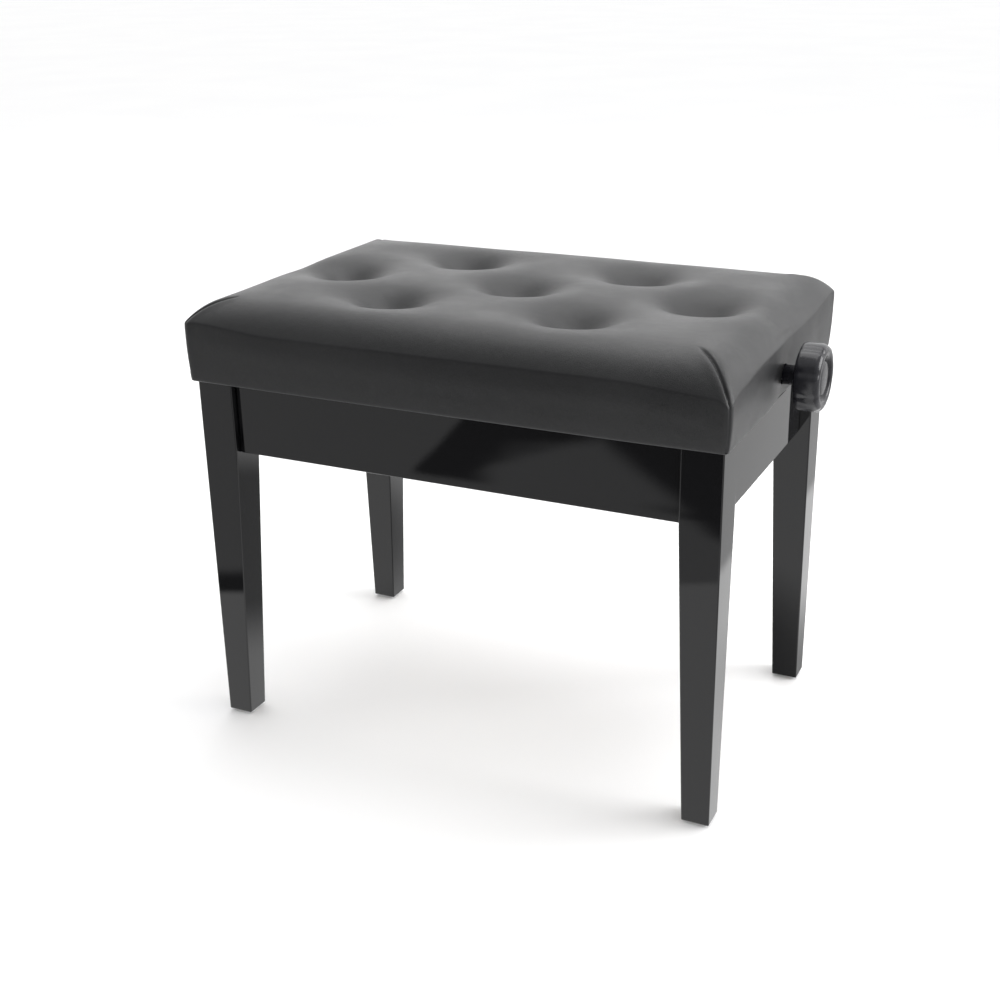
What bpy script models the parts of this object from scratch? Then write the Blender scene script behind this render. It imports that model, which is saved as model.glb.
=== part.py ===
"""Height-adjustable piano bench: four tapered legs, a tufted seat and a scissor lift driven by a lead screw."""

import math

import bmesh
import bpy
from mathutils import Matrix, Vector

# All lengths are in metres. X runs along the bench, the front faces -Y and Z is up.

# Legs and their glides
LEG_SPAN_LENGTH = 0.554
LEG_SPAN_DEPTH = 0.347
LEG_TOP = 0.383
LEG_SECTION = 0.040
LEG_FOOT_SECTION = 0.028
LEG_TAPER_START = 0.308
LEG_EDGE = 0.0012
GLIDE_HEIGHT = 0.0025
GLIDE_RADIUS = 0.009

# Aprons and corner blocks
APRON_THICKNESS = 0.016
APRON_TOP = 0.381
LONG_APRON_BOTTOM = 0.308
SIDE_APRON_BOTTOM = 0.303
LONG_APRON_RECESS = 0.0075
SIDE_APRON_RECESS = 0.0117
BLOCK_BOTTOM = 0.318
BLOCK_TOP = 0.362
BLOCK_REACH = 0.032
BOLT_SHANK_RADIUS = 0.003
BOLT_NUT_RADIUS = 0.0065
BOLT_NUT_HEIGHT = 0.005

# Scissor lift
ARM_LENGTH = 0.380
LOWER_PIVOT_HEIGHT = 0.3285
SCREW_HEIGHT = 0.4055
ARM_WIDTH = 0.020
ARM_THICKNESS = 0.003
OUTER_ARM_Y = 0.126
INNER_ARM_Y = 0.121
PIVOT_RADIUS = 0.005
PIVOT_HEAD_RADIUS = 0.008
PIVOT_HEAD_LENGTH = 0.003
SCREW_LEAD = 0.003
SCREW_TURNS = 11

# Steel rails
BASE_RAIL_HALF_LENGTH = 0.202
BASE_RAIL_BOTTOM = 0.317
BASE_RAIL_TOP = 0.3495
BASE_RAIL_WEB_Y = 0.1305
RAIL_GAUGE = 0.002
SEAT_RAIL_HALF_LENGTH = 0.205
SEAT_RAIL_BOTTOM = 0.3935
SEAT_RAIL_WEB_Y = 0.116
SEAT_RAIL_FLANGE = 0.018
ROLLER_RADIUS = 0.0092
ROLLER_WIDTH = 0.010

# Lead screw, nut and knobs
SCREW_RADIUS = 0.006
SPIGOT_RADIUS = 0.004
NUT_LENGTH = 0.026
NUT_DEPTH = 0.040
NUT_HEIGHT = 0.021
KNOB_RADIUS = 0.033
KNOB_BACK = 0.2955
KNOB_FACE = 0.3205
KNOB_NECK_RADIUS = 0.0095
KNOB_FLUTES = 8
KNOB_FLUTE_RADIUS = 0.009
KNOB_STEPS = 32
COLLAR_RADIUS = 0.011
COLLAR_LENGTH = 0.0075
BUSH_RADIUS = 0.010
BUSH_FLANGE_RADIUS = 0.0115

# Seat
SEAT_LENGTH = 0.560
SEAT_DEPTH = 0.374
SEAT_BOTTOM = 0.3845
SEAT_LIP = 0.436
SEAT_CROWN = 0.034
COVER_THICKNESS = 0.002
COVER_TURN_UNDER = 0.012
COVER_HOLE_RADIUS = 0.0145
RIM_THICKNESS = 0.015
FRAME_INSET = 0.0045  # the seat frame's outer faces, in from the cover's
RIM_BOTTOM = 0.3872
BOARD_BOTTOM = 0.420
BOARD_TOP = 0.431
TUFT_DEPTH = 0.019
TUFT_SPREAD = 0.020
TUFT_PITCH = 0.098
TUFT_ROW_PITCH = 0.0875
BUTTON_RADIUS = 0.008
BUTTON_HEIGHT = 0.005
BUTTON_LIFT = 0.0048
COVER_GRID = (28, 20)

# Clearances
GAP = 0.0003
FOAM_GAP = 0.0005
FOAM_DROP = 0.002

SIDES = {"front": -1, "back": 1}
ENDS = {"left": -1, "right": 1}
ROUND_STEPS = 24

PARTS = "piano_bench"
CUTTERS = "piano_bench_cutters"

LIFT_START = math.asin((SCREW_HEIGHT - LOWER_PIVOT_HEIGHT) / ARM_LENGTH)
PIVOT_X = ARM_LENGTH * math.cos(LIFT_START) / 2


def clear_scene():
    """Remove every object, so that the file holds only the bench."""
    for obj in list(bpy.data.objects):
        bpy.data.objects.remove(obj, do_unlink=True)


def make_collection(name):
    """Return a new collection linked to the scene."""
    collection = bpy.data.collections.new(name)
    bpy.context.scene.collection.children.link(collection)
    return collection


def make_material(name, colour, roughness, metallic=0.0, coat=0.0):
    """Return a Principled material."""
    material = bpy.data.materials.new(name)
    material.use_nodes = True
    shader = material.node_tree.nodes["Principled BSDF"]
    shader.inputs["Base Color"].default_value = (*colour, 1.0)
    shader.inputs["Roughness"].default_value = roughness
    shader.inputs["Metallic"].default_value = metallic
    shader.inputs["Coat Weight"].default_value = coat
    return material


def add_object(name, mesh, material=None, location=(0, 0, 0), cutter=False):
    """Put a mesh in the scene as a part or as a cutter."""
    obj = bpy.data.objects.new(name, mesh)
    obj.location = location
    bpy.data.collections[CUTTERS if cutter else PARTS].objects.link(obj)
    if cutter:
        obj.hide_render = True
        obj.display_type = "WIRE"
    else:
        mesh.materials.append(material)
    return obj


def mesh_from(name, bm):
    """Write a bmesh to a new mesh."""
    bmesh.ops.recalc_face_normals(bm, faces=bm.faces)
    mesh = bpy.data.meshes.new(name)
    bm.to_mesh(mesh)
    bm.free()
    return mesh


def add_bevel(obj, width, segments=2):
    """Round an object's edges."""
    bevel = obj.modifiers.new("rounded_edges", "BEVEL")
    bevel.width = width
    bevel.segments = segments
    bevel.limit_method = "ANGLE"


def box(name, low, high, material=None, bevel=0.0, cutter=False):
    """A box between two corners, with its origin at its middle."""
    low, high = Vector(low), Vector(high)
    size = high - low
    bm = bmesh.new()
    bmesh.ops.create_cube(bm, size=1.0, matrix=Matrix.Diagonal((*size, 1.0)))
    obj = add_object(name, mesh_from(name, bm), material, (low + high) / 2, cutter)
    if bevel:
        add_bevel(obj, bevel)
    return obj


def turned(name, profile, location, axis, material, steps=ROUND_STEPS):
    """Turn a profile of (radius, height) points, top first, about its axis with a Screw modifier."""
    mesh = bpy.data.meshes.new(name)
    points = [(radius, 0.0, height) for radius, height in profile]
    mesh.from_pydata(points, [(i, i + 1) for i in range(len(points) - 1)], [])
    obj = add_object(name, mesh, material, location)
    obj.rotation_mode = "QUATERNION"
    obj.rotation_quaternion = Vector((0, 0, 1)).rotation_difference(Vector(axis))
    screw = obj.modifiers.new("turn", "SCREW")
    screw.steps = steps
    screw.render_steps = steps
    screw.use_merge_vertices = True
    screw.merge_threshold = 0.00001
    screw.use_smooth_shade = True
    return obj


def round_cutter(name, radius, length, location, axis):
    """A cylinder that cuts a hole, centred on its location."""
    bm = bmesh.new()
    bmesh.ops.create_cone(
        bm, cap_ends=True, segments=ROUND_STEPS, radius1=radius, radius2=radius, depth=length
    )
    obj = add_object(name, mesh_from(name, bm), location=location, cutter=True)
    obj.rotation_mode = "QUATERNION"
    obj.rotation_quaternion = Vector((0, 0, 1)).rotation_difference(Vector(axis))
    return obj


def cut(target, cutter, operation="DIFFERENCE"):
    """Cut one object with another."""
    boolean = target.modifiers.new(cutter.name, "BOOLEAN")
    boolean.operation = operation
    boolean.object = cutter


def arc(centre, radius, start, end, steps):
    """Points of an arc in a plane, with both ends."""
    angles = [start + (end - start) * i / steps for i in range(steps + 1)]
    return [(centre[0] + radius * math.cos(a), centre[1] + radius * math.sin(a)) for a in angles]


def plate(name, loops, thickness, material=None, cutter=False):
    """A flat plate cut from one outline and its holes, lying in XY about its mid plane."""
    curve = bpy.data.curves.new(name, "CURVE")
    curve.dimensions = "2D"
    curve.fill_mode = "BOTH"
    curve.extrude = thickness / 2
    for loop in loops:
        spline = curve.splines.new("POLY")
        spline.points.add(len(loop) - 1)
        for point, (u, v) in zip(spline.points, loop):
            point.co = (u, v, 0.0, 1.0)
        spline.use_cyclic_u = True
    outline = bpy.data.objects.new(name + "_outline", curve)
    bpy.context.scene.collection.objects.link(outline)
    evaluated = outline.evaluated_get(bpy.context.evaluated_depsgraph_get())
    bm = bmesh.new()
    bm.from_mesh(bpy.data.meshes.new_from_object(evaluated))
    bpy.data.objects.remove(outline)
    bmesh.ops.remove_doubles(bm, verts=bm.verts, dist=0.00001)
    return add_object(name, mesh_from(name, bm), material, cutter=cutter)


def make_materials():
    """The bench's finishes."""
    return {
        "lacquer": make_material("black_lacquer", (0.012, 0.012, 0.014), 0.12, coat=1.0),
        "wood": make_material("birch_plywood", (0.62, 0.47, 0.31), 0.6),
        "steel": make_material("black_steel", (0.03, 0.03, 0.032), 0.45, 0.8),
        "zinc": make_material("zinc_plate", (0.62, 0.62, 0.6), 0.35, 1.0),
        "nylon": make_material("white_nylon", (0.8, 0.79, 0.75), 0.5),
        "plastic": make_material("black_plastic", (0.015, 0.015, 0.018), 0.25),
        "leather": make_material("black_leatherette", (0.02, 0.02, 0.022), 0.42),
        "foam": make_material("foam", (0.75, 0.68, 0.5), 0.95),
    }


def make_leg(name, side_x, side_y, material):
    """A square leg whose two inner faces taper below the aprons."""
    outer_x, outer_y = side_x * LEG_SPAN_LENGTH / 2, side_y * LEG_SPAN_DEPTH / 2
    faces_x = sorted((outer_x, outer_x - side_x * LEG_SECTION))
    faces_y = sorted((outer_y, outer_y - side_y * LEG_SECTION))
    low = (faces_x[0], faces_y[0], GLIDE_HEIGHT)
    leg = box(name, low, (faces_x[1], faces_y[1], LEG_TOP), material)
    middle = leg.location
    bm = bmesh.new()
    bm.from_mesh(leg.data)
    taper_plane = Vector((0, 0, LEG_TAPER_START - middle.z))
    geometry = bm.verts[:] + bm.edges[:] + bm.faces[:]
    bmesh.ops.bisect_plane(bm, geom=geometry, plane_co=taper_plane, plane_no=(0, 0, 1))
    slimming = LEG_SECTION - LEG_FOOT_SECTION
    for vert in bm.verts:
        if vert.co.z < -middle.z + GLIDE_HEIGHT + GAP:
            vert.co.x += side_x * slimming if vert.co.x * side_x < 0 else 0.0
            vert.co.y += side_y * slimming if vert.co.y * side_y < 0 else 0.0
    bm.to_mesh(leg.data)
    bm.free()
    add_bevel(leg, LEG_EDGE)
    return leg


def make_glide(name, side_x, side_y, material):
    """A round nylon glide under a leg."""
    half_foot = LEG_FOOT_SECTION / 2
    x = side_x * (LEG_SPAN_LENGTH / 2 - half_foot)
    y = side_y * (LEG_SPAN_DEPTH / 2 - half_foot)
    top = GLIDE_HEIGHT - GAP
    profile = [(0, top), (GLIDE_RADIUS, top), (GLIDE_RADIUS, 0.001), (GLIDE_RADIUS - 0.001, 0), (0, 0)]
    return turned(name, profile, (x, y, 0), (0, 0, 1), material)


def make_corner(end, side, side_x, side_y, finishes):
    """A leg with its glide, glued corner block and hanger bolt."""
    label = f"{side}_{end}"
    make_leg(f"leg_{label}", side_x, side_y, finishes["lacquer"])
    make_glide(f"glide_{label}", side_x, side_y, finishes["nylon"])
    make_corner_block(label, side_x, side_y, finishes)


def make_corner_block(label, side_x, side_y, finishes):
    """A block that fills the inner corner behind a leg, and the bolt that pulls the leg into it."""
    leg_x = LEG_SPAN_LENGTH / 2 - LEG_SECTION - GAP
    leg_y = LEG_SPAN_DEPTH / 2 - LEG_SECTION - GAP
    apron_x = LEG_SPAN_LENGTH / 2 - SIDE_APRON_RECESS - APRON_THICKNESS - GAP
    apron_y = LEG_SPAN_DEPTH / 2 - LONG_APRON_RECESS - APRON_THICKNESS - GAP
    outline = [
        (apron_x, leg_y - BLOCK_REACH),
        (apron_x, leg_y),
        (leg_x, leg_y),
        (leg_x, apron_y),
        (leg_x - BLOCK_REACH, apron_y),
    ]
    outline = [(side_x * x, side_y * y) for x, y in outline]
    block = plate(f"corner_block_{label}", [outline], BLOCK_TOP - BLOCK_BOTTOM, finishes["wood"])
    middle_z = (BLOCK_TOP + BLOCK_BOTTOM) / 2
    block.location.z = middle_z

    inward = Vector((-side_x, -side_y, 0)).normalized()
    leg_corner = Vector((side_x * leg_x, side_y * leg_y, middle_z))
    face_a = Vector((side_x * apron_x, side_y * (leg_y - BLOCK_REACH), middle_z))
    face_b = Vector((side_x * (leg_x - BLOCK_REACH), side_y * apron_y, middle_z))
    along = face_b - face_a
    normal = Vector((along.y, -along.x, 0))
    depth = abs((face_a - leg_corner).dot(normal) / inward.dot(normal))
    start = leg_corner + inward * GAP
    hole = round_cutter(
        f"hole_{label}", BOLT_SHANK_RADIUS + GAP, 0.12, start + inward * depth / 2, inward
    )
    cut(block, hole)
    tail = depth + BOLT_NUT_HEIGHT + 0.008
    shank, nut = BOLT_SHANK_RADIUS, BOLT_NUT_RADIUS
    nut_start = depth + 0.002
    profile = [
        (0, tail),
        (shank, tail),
        (shank, nut_start + BOLT_NUT_HEIGHT),
        (nut, nut_start + BOLT_NUT_HEIGHT),
        (nut, nut_start),
        (shank, nut_start),
        (shank, 0.001),
        (0, 0.001),
    ]
    turned(f"hanger_bolt_{label}", profile, start, inward, finishes["zinc"], steps=12)


def make_aprons(finishes):
    """Four aprons set back from the legs' outer faces."""
    inner_x = LEG_SPAN_LENGTH / 2 - LEG_SECTION - GAP
    inner_y = LEG_SPAN_DEPTH / 2 - LEG_SECTION - GAP
    for side, sign in SIDES.items():
        faces = sorted(
            sign * (LEG_SPAN_DEPTH / 2 - LONG_APRON_RECESS - offset) for offset in (0, APRON_THICKNESS)
        )
        low = (-inner_x, faces[0], LONG_APRON_BOTTOM)
        high = (inner_x, faces[1], APRON_TOP)
        box(f"apron_{side}", low, high, finishes["lacquer"], bevel=0.0008)
    for end, sign in ENDS.items():
        faces = sorted(
            sign * (LEG_SPAN_LENGTH / 2 - SIDE_APRON_RECESS - offset) for offset in (0, APRON_THICKNESS)
        )
        low = (faces[0], -inner_y, SIDE_APRON_BOTTOM)
        high = (faces[1], inner_y, APRON_TOP)
        box(f"apron_{end}", low, high, finishes["lacquer"], bevel=0.0008)


def slot_loop(start, end, radius):
    """A slot's outline between two centres at the same height."""
    right = arc(end, radius, -math.pi / 2, math.pi / 2, 8)
    left = arc(start, radius, math.pi / 2, math.pi * 1.5, 8)
    return right + left


def make_base_rail(side, sign, finishes):
    """A steel U channel on the apron's inside, with the pivot hole and the roller's slot in its inner web."""
    wall_y = LEG_SPAN_DEPTH / 2 - LONG_APRON_RECESS - APRON_THICKNESS - GAP
    web, gauge = BASE_RAIL_WEB_Y, RAIL_GAUGE
    section = [
        (web, BASE_RAIL_BOTTOM),
        (wall_y, BASE_RAIL_BOTTOM),
        (wall_y, BASE_RAIL_TOP),
        (wall_y - gauge, BASE_RAIL_TOP),
        (wall_y - gauge, BASE_RAIL_BOTTOM + gauge),
        (web + gauge, BASE_RAIL_BOTTOM + gauge),
        (web + gauge, BASE_RAIL_TOP),
        (web, BASE_RAIL_TOP),
    ]
    section = [(sign * y, z) for y, z in section]
    rail = plate(f"base_rail_{side}", [section], 2 * BASE_RAIL_HALF_LENGTH, finishes["steel"])
    rail.rotation_euler = (math.pi / 2, 0, math.pi / 2)
    hole = round_cutter(
        f"pivot_hole_{side}",
        PIVOT_RADIUS + GAP,
        4 * gauge,
        (-PIVOT_X, sign * (web + gauge / 2), LOWER_PIVOT_HEIGHT),
        (0, 1, 0),
    )
    cut(rail, hole)
    travel = SCREW_LEAD * SCREW_TURNS
    loop = slot_loop(
        (PIVOT_X - travel - 0.003, LOWER_PIVOT_HEIGHT),
        (PIVOT_X + 0.003, LOWER_PIVOT_HEIGHT),
        PIVOT_RADIUS + 2 * GAP,
    )
    slot = plate(f"roller_slot_{side}", [loop], 4 * gauge, cutter=True)
    slot.rotation_euler = (math.pi / 2, 0, 0)
    slot.location.y = sign * (web + gauge / 2)
    cut(rail, slot)
    return rail


def make_seat_rail(side, sign, finishes):
    """A steel angle under the seat board, with a pivot hole and the nut's slot."""
    web, gauge = SEAT_RAIL_WEB_Y, RAIL_GAUGE
    top = BOARD_BOTTOM - GAP
    section = [
        (web + gauge, SEAT_RAIL_BOTTOM),
        (web + gauge, top),
        (web + gauge - SEAT_RAIL_FLANGE, top),
        (web + gauge - SEAT_RAIL_FLANGE, top - gauge),
        (web, top - gauge),
        (web, SEAT_RAIL_BOTTOM),
    ]
    section = [(sign * y, z) for y, z in section]
    rail = plate(f"seat_rail_{side}", [section], 2 * SEAT_RAIL_HALF_LENGTH, finishes["steel"])
    rail.rotation_euler = (math.pi / 2, 0, math.pi / 2)
    hole = round_cutter(
        f"seat_pivot_hole_{side}",
        PIVOT_RADIUS + GAP,
        4 * gauge,
        (-PIVOT_X, sign * (web + gauge / 2), SCREW_HEIGHT),
        (0, 1, 0),
    )
    cut(rail, hole)
    travel = SCREW_LEAD * SCREW_TURNS
    loop = slot_loop(
        (PIVOT_X - travel - 0.003, SCREW_HEIGHT),
        (PIVOT_X + 0.003, SCREW_HEIGHT),
        PIVOT_RADIUS + 2 * GAP,
    )
    slot = plate(f"nut_slot_{side}", [loop], 4 * gauge, cutter=True)
    slot.rotation_euler = (math.pi / 2, 0, 0)
    slot.location.y = sign * (web + gauge / 2)
    cut(rail, slot)
    return rail


def make_arm(name, layer_y, tilt, material):
    """A flat bar with round ends and three pivot holes, tilted about the scissor's centre."""
    reach = ARM_LENGTH / 2
    hole = PIVOT_RADIUS + GAP
    outline = arc((reach, 0), ARM_WIDTH / 2, -math.pi / 2, math.pi / 2, 10)
    outline += arc((-reach, 0), ARM_WIDTH / 2, math.pi / 2, math.pi * 1.5, 10)
    holes = [arc((x, 0), hole, 0, 2 * math.pi * 23 / 24, 23) for x in (-reach, 0, reach)]
    arm = plate(name, [outline, *holes], ARM_THICKNESS, material)
    arm.rotation_euler = (math.pi / 2, -tilt, 0)
    arm.location = (0, layer_y, (LOWER_PIVOT_HEIGHT + SCREW_HEIGHT) / 2)
    return arm


def make_pin(name, x, z, start_y, end_y, material):
    """A headed pivot pin along Y, with its head at start_y."""
    sign = 1 if end_y > start_y else -1
    length = abs(end_y - start_y)
    profile = [
        (0, length),
        (PIVOT_RADIUS - 0.0008, length),
        (PIVOT_RADIUS, length - 0.0008),
        (PIVOT_RADIUS, PIVOT_HEAD_LENGTH),
        (PIVOT_HEAD_RADIUS, PIVOT_HEAD_LENGTH),
        (PIVOT_HEAD_RADIUS, 0.0008),
        (PIVOT_HEAD_RADIUS - 0.0008, 0),
        (0, 0),
    ]
    return turned(name, profile, (x, start_y, z), (0, sign, 0), material)


def make_cross_shaft(name, x, z, half_length, material):
    """A plain shaft along Y through both sides of the lift, with a collar at each end."""
    head = PIVOT_HEAD_LENGTH
    profile = [
        (0, half_length),
        (PIVOT_HEAD_RADIUS - 0.0008, half_length),
        (PIVOT_HEAD_RADIUS, half_length - 0.0008),
        (PIVOT_HEAD_RADIUS, half_length - head),
        (PIVOT_RADIUS, half_length - head),
    ]
    profile += [(radius, -height) for radius, height in reversed(profile)]
    return turned(name, profile, (x, 0, z), (0, 1, 0), material)


def make_scissor(finishes):
    """Two crossed pairs of arms, their pivots and the rollers."""
    middle_z = (LOWER_PIVOT_HEIGHT + SCREW_HEIGHT) / 2
    clear = ARM_THICKNESS / 2 + GAP
    for side, sign in SIDES.items():
        make_base_rail(side, sign, finishes)
        make_seat_rail(side, sign, finishes)
        make_arm(f"lift_arm_{side}", sign * OUTER_ARM_Y, LIFT_START, finishes["steel"])
        make_arm(f"cross_arm_{side}", sign * INNER_ARM_Y, -LIFT_START, finishes["steel"])
        make_pin(
            f"centre_pin_{side}",
            0,
            middle_z,
            sign * (INNER_ARM_Y - clear - PIVOT_HEAD_LENGTH),
            sign * (OUTER_ARM_Y + clear + 0.001),
            finishes["zinc"],
        )
        make_pin(
            f"upper_pin_{side}",
            -PIVOT_X,
            SCREW_HEIGHT,
            sign * (SEAT_RAIL_WEB_Y - GAP - PIVOT_HEAD_LENGTH),
            sign * (INNER_ARM_Y + clear + 0.0006),
            finishes["zinc"],
        )
        make_roller(side, sign, finishes)
    end = BASE_RAIL_WEB_Y + RAIL_GAUGE + GAP + PIVOT_HEAD_LENGTH
    make_cross_shaft("lower_pivot_shaft", -PIVOT_X, LOWER_PIVOT_HEIGHT, end, finishes["zinc"])
    roller_end = BASE_RAIL_WEB_Y + RAIL_GAUGE + 3 * GAP + ROLLER_WIDTH + GAP + PIVOT_HEAD_LENGTH
    make_cross_shaft("roller_shaft", PIVOT_X, LOWER_PIVOT_HEIGHT, roller_end, finishes["zinc"])


def make_roller(side, sign, finishes):
    """A nylon roller that runs on the floor of the base rail."""
    bore = PIVOT_RADIUS + GAP
    half = ROLLER_WIDTH / 2
    rim = 0.001
    profile = [
        (bore, half),
        (ROLLER_RADIUS - rim, half),
        (ROLLER_RADIUS, half - rim),
        (ROLLER_RADIUS, rim - half),
        (ROLLER_RADIUS - rim, -half),
        (bore, -half),
        (bore, half),
    ]
    y = sign * (BASE_RAIL_WEB_Y + RAIL_GAUGE + 3 * GAP + half)
    turned(f"roller_{side}", profile, (PIVOT_X, y, LOWER_PIVOT_HEIGHT), (0, 1, 0), finishes["nylon"])


def make_nut(finishes):
    """The bronze nut block with a trunnion on each side, which carries the lift arms' upper ends."""
    half = Vector((NUT_LENGTH / 2, NUT_DEPTH / 2, NUT_HEIGHT / 2))
    centre = Vector((PIVOT_X, 0, SCREW_HEIGHT))
    nut = box("screw_nut", centre - half, centre + half, finishes["zinc"], bevel=0.001)
    trunnion_end = OUTER_ARM_Y + ARM_THICKNESS / 2 + 0.0025
    bm = bmesh.new()
    bmesh.ops.create_cone(
        bm,
        cap_ends=True,
        segments=ROUND_STEPS,
        radius1=PIVOT_RADIUS,
        radius2=PIVOT_RADIUS,
        depth=2 * trunnion_end,
    )
    bar = add_object("trunnion_bar", mesh_from("trunnion_bar", bm), location=centre, cutter=True)
    bar.rotation_euler = (math.pi / 2, 0, 0)
    cut(nut, bar, "UNION")
    bore = round_cutter("nut_bore", SCREW_RADIUS + GAP, 2 * NUT_LENGTH, centre, (1, 0, 0))
    cut(nut, bore)
    return nut


def make_screw(finishes):
    """The lead screw, turned down at both ends where the knobs sit."""
    shoulder = KNOB_BACK - 0.0165
    tip = KNOB_FACE - 0.0095
    half = [(0, tip), (SPIGOT_RADIUS, tip), (SPIGOT_RADIUS, shoulder), (SCREW_RADIUS, shoulder)]
    profile = half + [(radius, -height) for radius, height in reversed(half)]
    turned("lead_screw", profile, (0, 0, SCREW_HEIGHT), (1, 0, 0), finishes["zinc"])


def make_knob(end, sign, finishes):
    """A fluted knob with a long neck, a dished face and a bore for the screw's end."""
    bore = SPIGOT_RADIUS + GAP
    neck_start = KNOB_BACK - 0.016
    bore_end = KNOB_FACE - 0.009
    face = KNOB_FACE
    edge = 0.003
    profile = [
        (0, face - 0.002),
        (0.0160, face - 0.002),
        (0.0175, face - 0.005),
        (0.0205, face - 0.005),
        (0.0225, face),
        (KNOB_RADIUS - edge, face),
        (KNOB_RADIUS, face - edge),
        (KNOB_RADIUS, KNOB_BACK + edge),
        (KNOB_RADIUS - edge, KNOB_BACK),
        (KNOB_NECK_RADIUS, KNOB_BACK),
        (KNOB_NECK_RADIUS, neck_start),
        (bore, neck_start),
        (bore, bore_end),
        (0, bore_end),
    ]
    axis = (sign, 0, 0)
    knob = turned(f"knob_{end}", profile, (0, 0, SCREW_HEIGHT), axis, finishes["plastic"], KNOB_STEPS)
    bm = bmesh.new()
    reach = KNOB_RADIUS + KNOB_FLUTE_RADIUS - 0.0012
    for flute in range(KNOB_FLUTES):
        angle = 2 * math.pi * (flute + 0.5) / KNOB_FLUTES
        place = Matrix.Translation((0, reach * math.cos(angle), reach * math.sin(angle)))
        turn = Matrix.Rotation(math.pi / 2, 4, "Y")
        bmesh.ops.create_cone(
            bm,
            cap_ends=True,
            segments=14,
            radius1=KNOB_FLUTE_RADIUS,
            radius2=KNOB_FLUTE_RADIUS,
            depth=2 * (KNOB_FACE - KNOB_BACK),
            matrix=place @ turn,
        )
    middle = (sign * (KNOB_BACK + KNOB_FACE) / 2, 0, SCREW_HEIGHT)
    flutes = add_object(f"knob_flutes_{end}", mesh_from("knob_flutes", bm), location=middle, cutter=True)
    cut(knob, flutes)
    return knob


def make_bearings(end, sign, finishes):
    """The flanged bush in a side rim and the collar that holds the screw against it."""
    rim_outer = SEAT_LENGTH / 2 - FRAME_INSET
    rim_inner = rim_outer - RIM_THICKNESS
    bore = SCREW_RADIUS + GAP
    flange = 0.002
    bush = [
        (bore, rim_outer),
        (BUSH_RADIUS, rim_outer),
        (BUSH_RADIUS, rim_inner - GAP),
        (BUSH_FLANGE_RADIUS, rim_inner - GAP),
        (BUSH_FLANGE_RADIUS, rim_inner - GAP - flange),
        (bore, rim_inner - GAP - flange),
        (bore, rim_outer),
    ]
    turned(f"screw_bush_{end}", bush, (0, 0, SCREW_HEIGHT), (sign, 0, 0), finishes["nylon"])
    start = rim_inner - flange - 3 * GAP
    stop = start - COLLAR_LENGTH
    collar = [(bore, start), (COLLAR_RADIUS, start), (COLLAR_RADIUS, stop), (bore, stop), (bore, start)]
    turned(f"screw_collar_{end}", collar, (0, 0, SCREW_HEIGHT), (sign, 0, 0), finishes["zinc"])


def make_seat_frame(finishes):
    """The plywood board on a rim of four rails, with the screw's bearings in the side rails."""
    rim_x = SEAT_LENGTH / 2 - FRAME_INSET
    rim_y = SEAT_DEPTH / 2 - FRAME_INSET
    top = BOARD_BOTTOM - GAP
    wood = finishes["wood"]
    for side, sign in SIDES.items():
        faces = sorted((sign * rim_y, sign * (rim_y - RIM_THICKNESS)))
        box(f"seat_rim_{side}", (-rim_x, faces[0], RIM_BOTTOM), (rim_x, faces[1], top), wood)
    inner_y = rim_y - RIM_THICKNESS - GAP
    for end, sign in ENDS.items():
        faces = sorted((sign * rim_x, sign * (rim_x - RIM_THICKNESS)))
        rim = box(f"seat_rim_{end}", (faces[0], -inner_y, RIM_BOTTOM), (faces[1], inner_y, top), wood)
        middle = (sign * (rim_x - RIM_THICKNESS / 2), 0, SCREW_HEIGHT)
        cut(rim, round_cutter(f"bush_hole_{end}", BUSH_RADIUS + GAP, 0.04, middle, (1, 0, 0)))
        make_bearings(end, sign, finishes)
    box("seat_board", (-rim_x, -rim_y, BOARD_BOTTOM), (rim_x, rim_y, BOARD_TOP), wood)


def tuft_places():
    """The tufts' centres: two in the front row, three in the middle and two in the back."""
    rows = {-TUFT_ROW_PITCH: (-1, 1), 0.0: (-2, 0, 2), TUFT_ROW_PITCH: (-1, 1)}
    return [(step * TUFT_PITCH, y) for y, steps in rows.items() for step in steps]


def cushion_height(x, y):
    """Height of the cushion's top at a point: a crown that rolls down at the edges, less the tufts."""
    u = min(1.0, abs(2 * x / SEAT_LENGTH))
    v = min(1.0, abs(2 * y / SEAT_DEPTH))
    height = SEAT_LIP + SEAT_CROWN * (1 - u**8) ** 0.5 * (1 - v**6) ** 0.5
    for tuft_x, tuft_y in tuft_places():
        reach = ((x - tuft_x) ** 2 + (y - tuft_y) ** 2) / (2 * TUFT_SPREAD**2)
        height -= TUFT_DEPTH * math.exp(-reach)
    return height


def cushion_sheet(inset, sink):
    """An open sheet that follows the cushion's top, drawn in at its edge by inset and lowered by sink."""
    bm = bmesh.new()
    bmesh.ops.create_grid(bm, x_segments=COVER_GRID[0], y_segments=COVER_GRID[1], size=1.0)
    for vert in bm.verts:
        x, y = vert.co.x * SEAT_LENGTH / 2, vert.co.y * SEAT_DEPTH / 2
        height = cushion_height(x, y) - sink
        x = max(inset - SEAT_LENGTH / 2, min(SEAT_LENGTH / 2 - inset, x))
        y = max(inset - SEAT_DEPTH / 2, min(SEAT_DEPTH / 2 - inset, y))
        vert.co = (x, y, height)
    return bm


def extrude_rim(bm, scale_x, scale_y, height):
    """Extrude the sheet's open edge to a new height, scaled about the middle."""
    edges = [edge for edge in bm.edges if edge.is_boundary]
    grown = bmesh.ops.extrude_edge_only(bm, edges=edges)
    for vert in (item for item in grown["geom"] if isinstance(item, bmesh.types.BMVert)):
        vert.co = (vert.co.x * scale_x, vert.co.y * scale_y, height)


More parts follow.
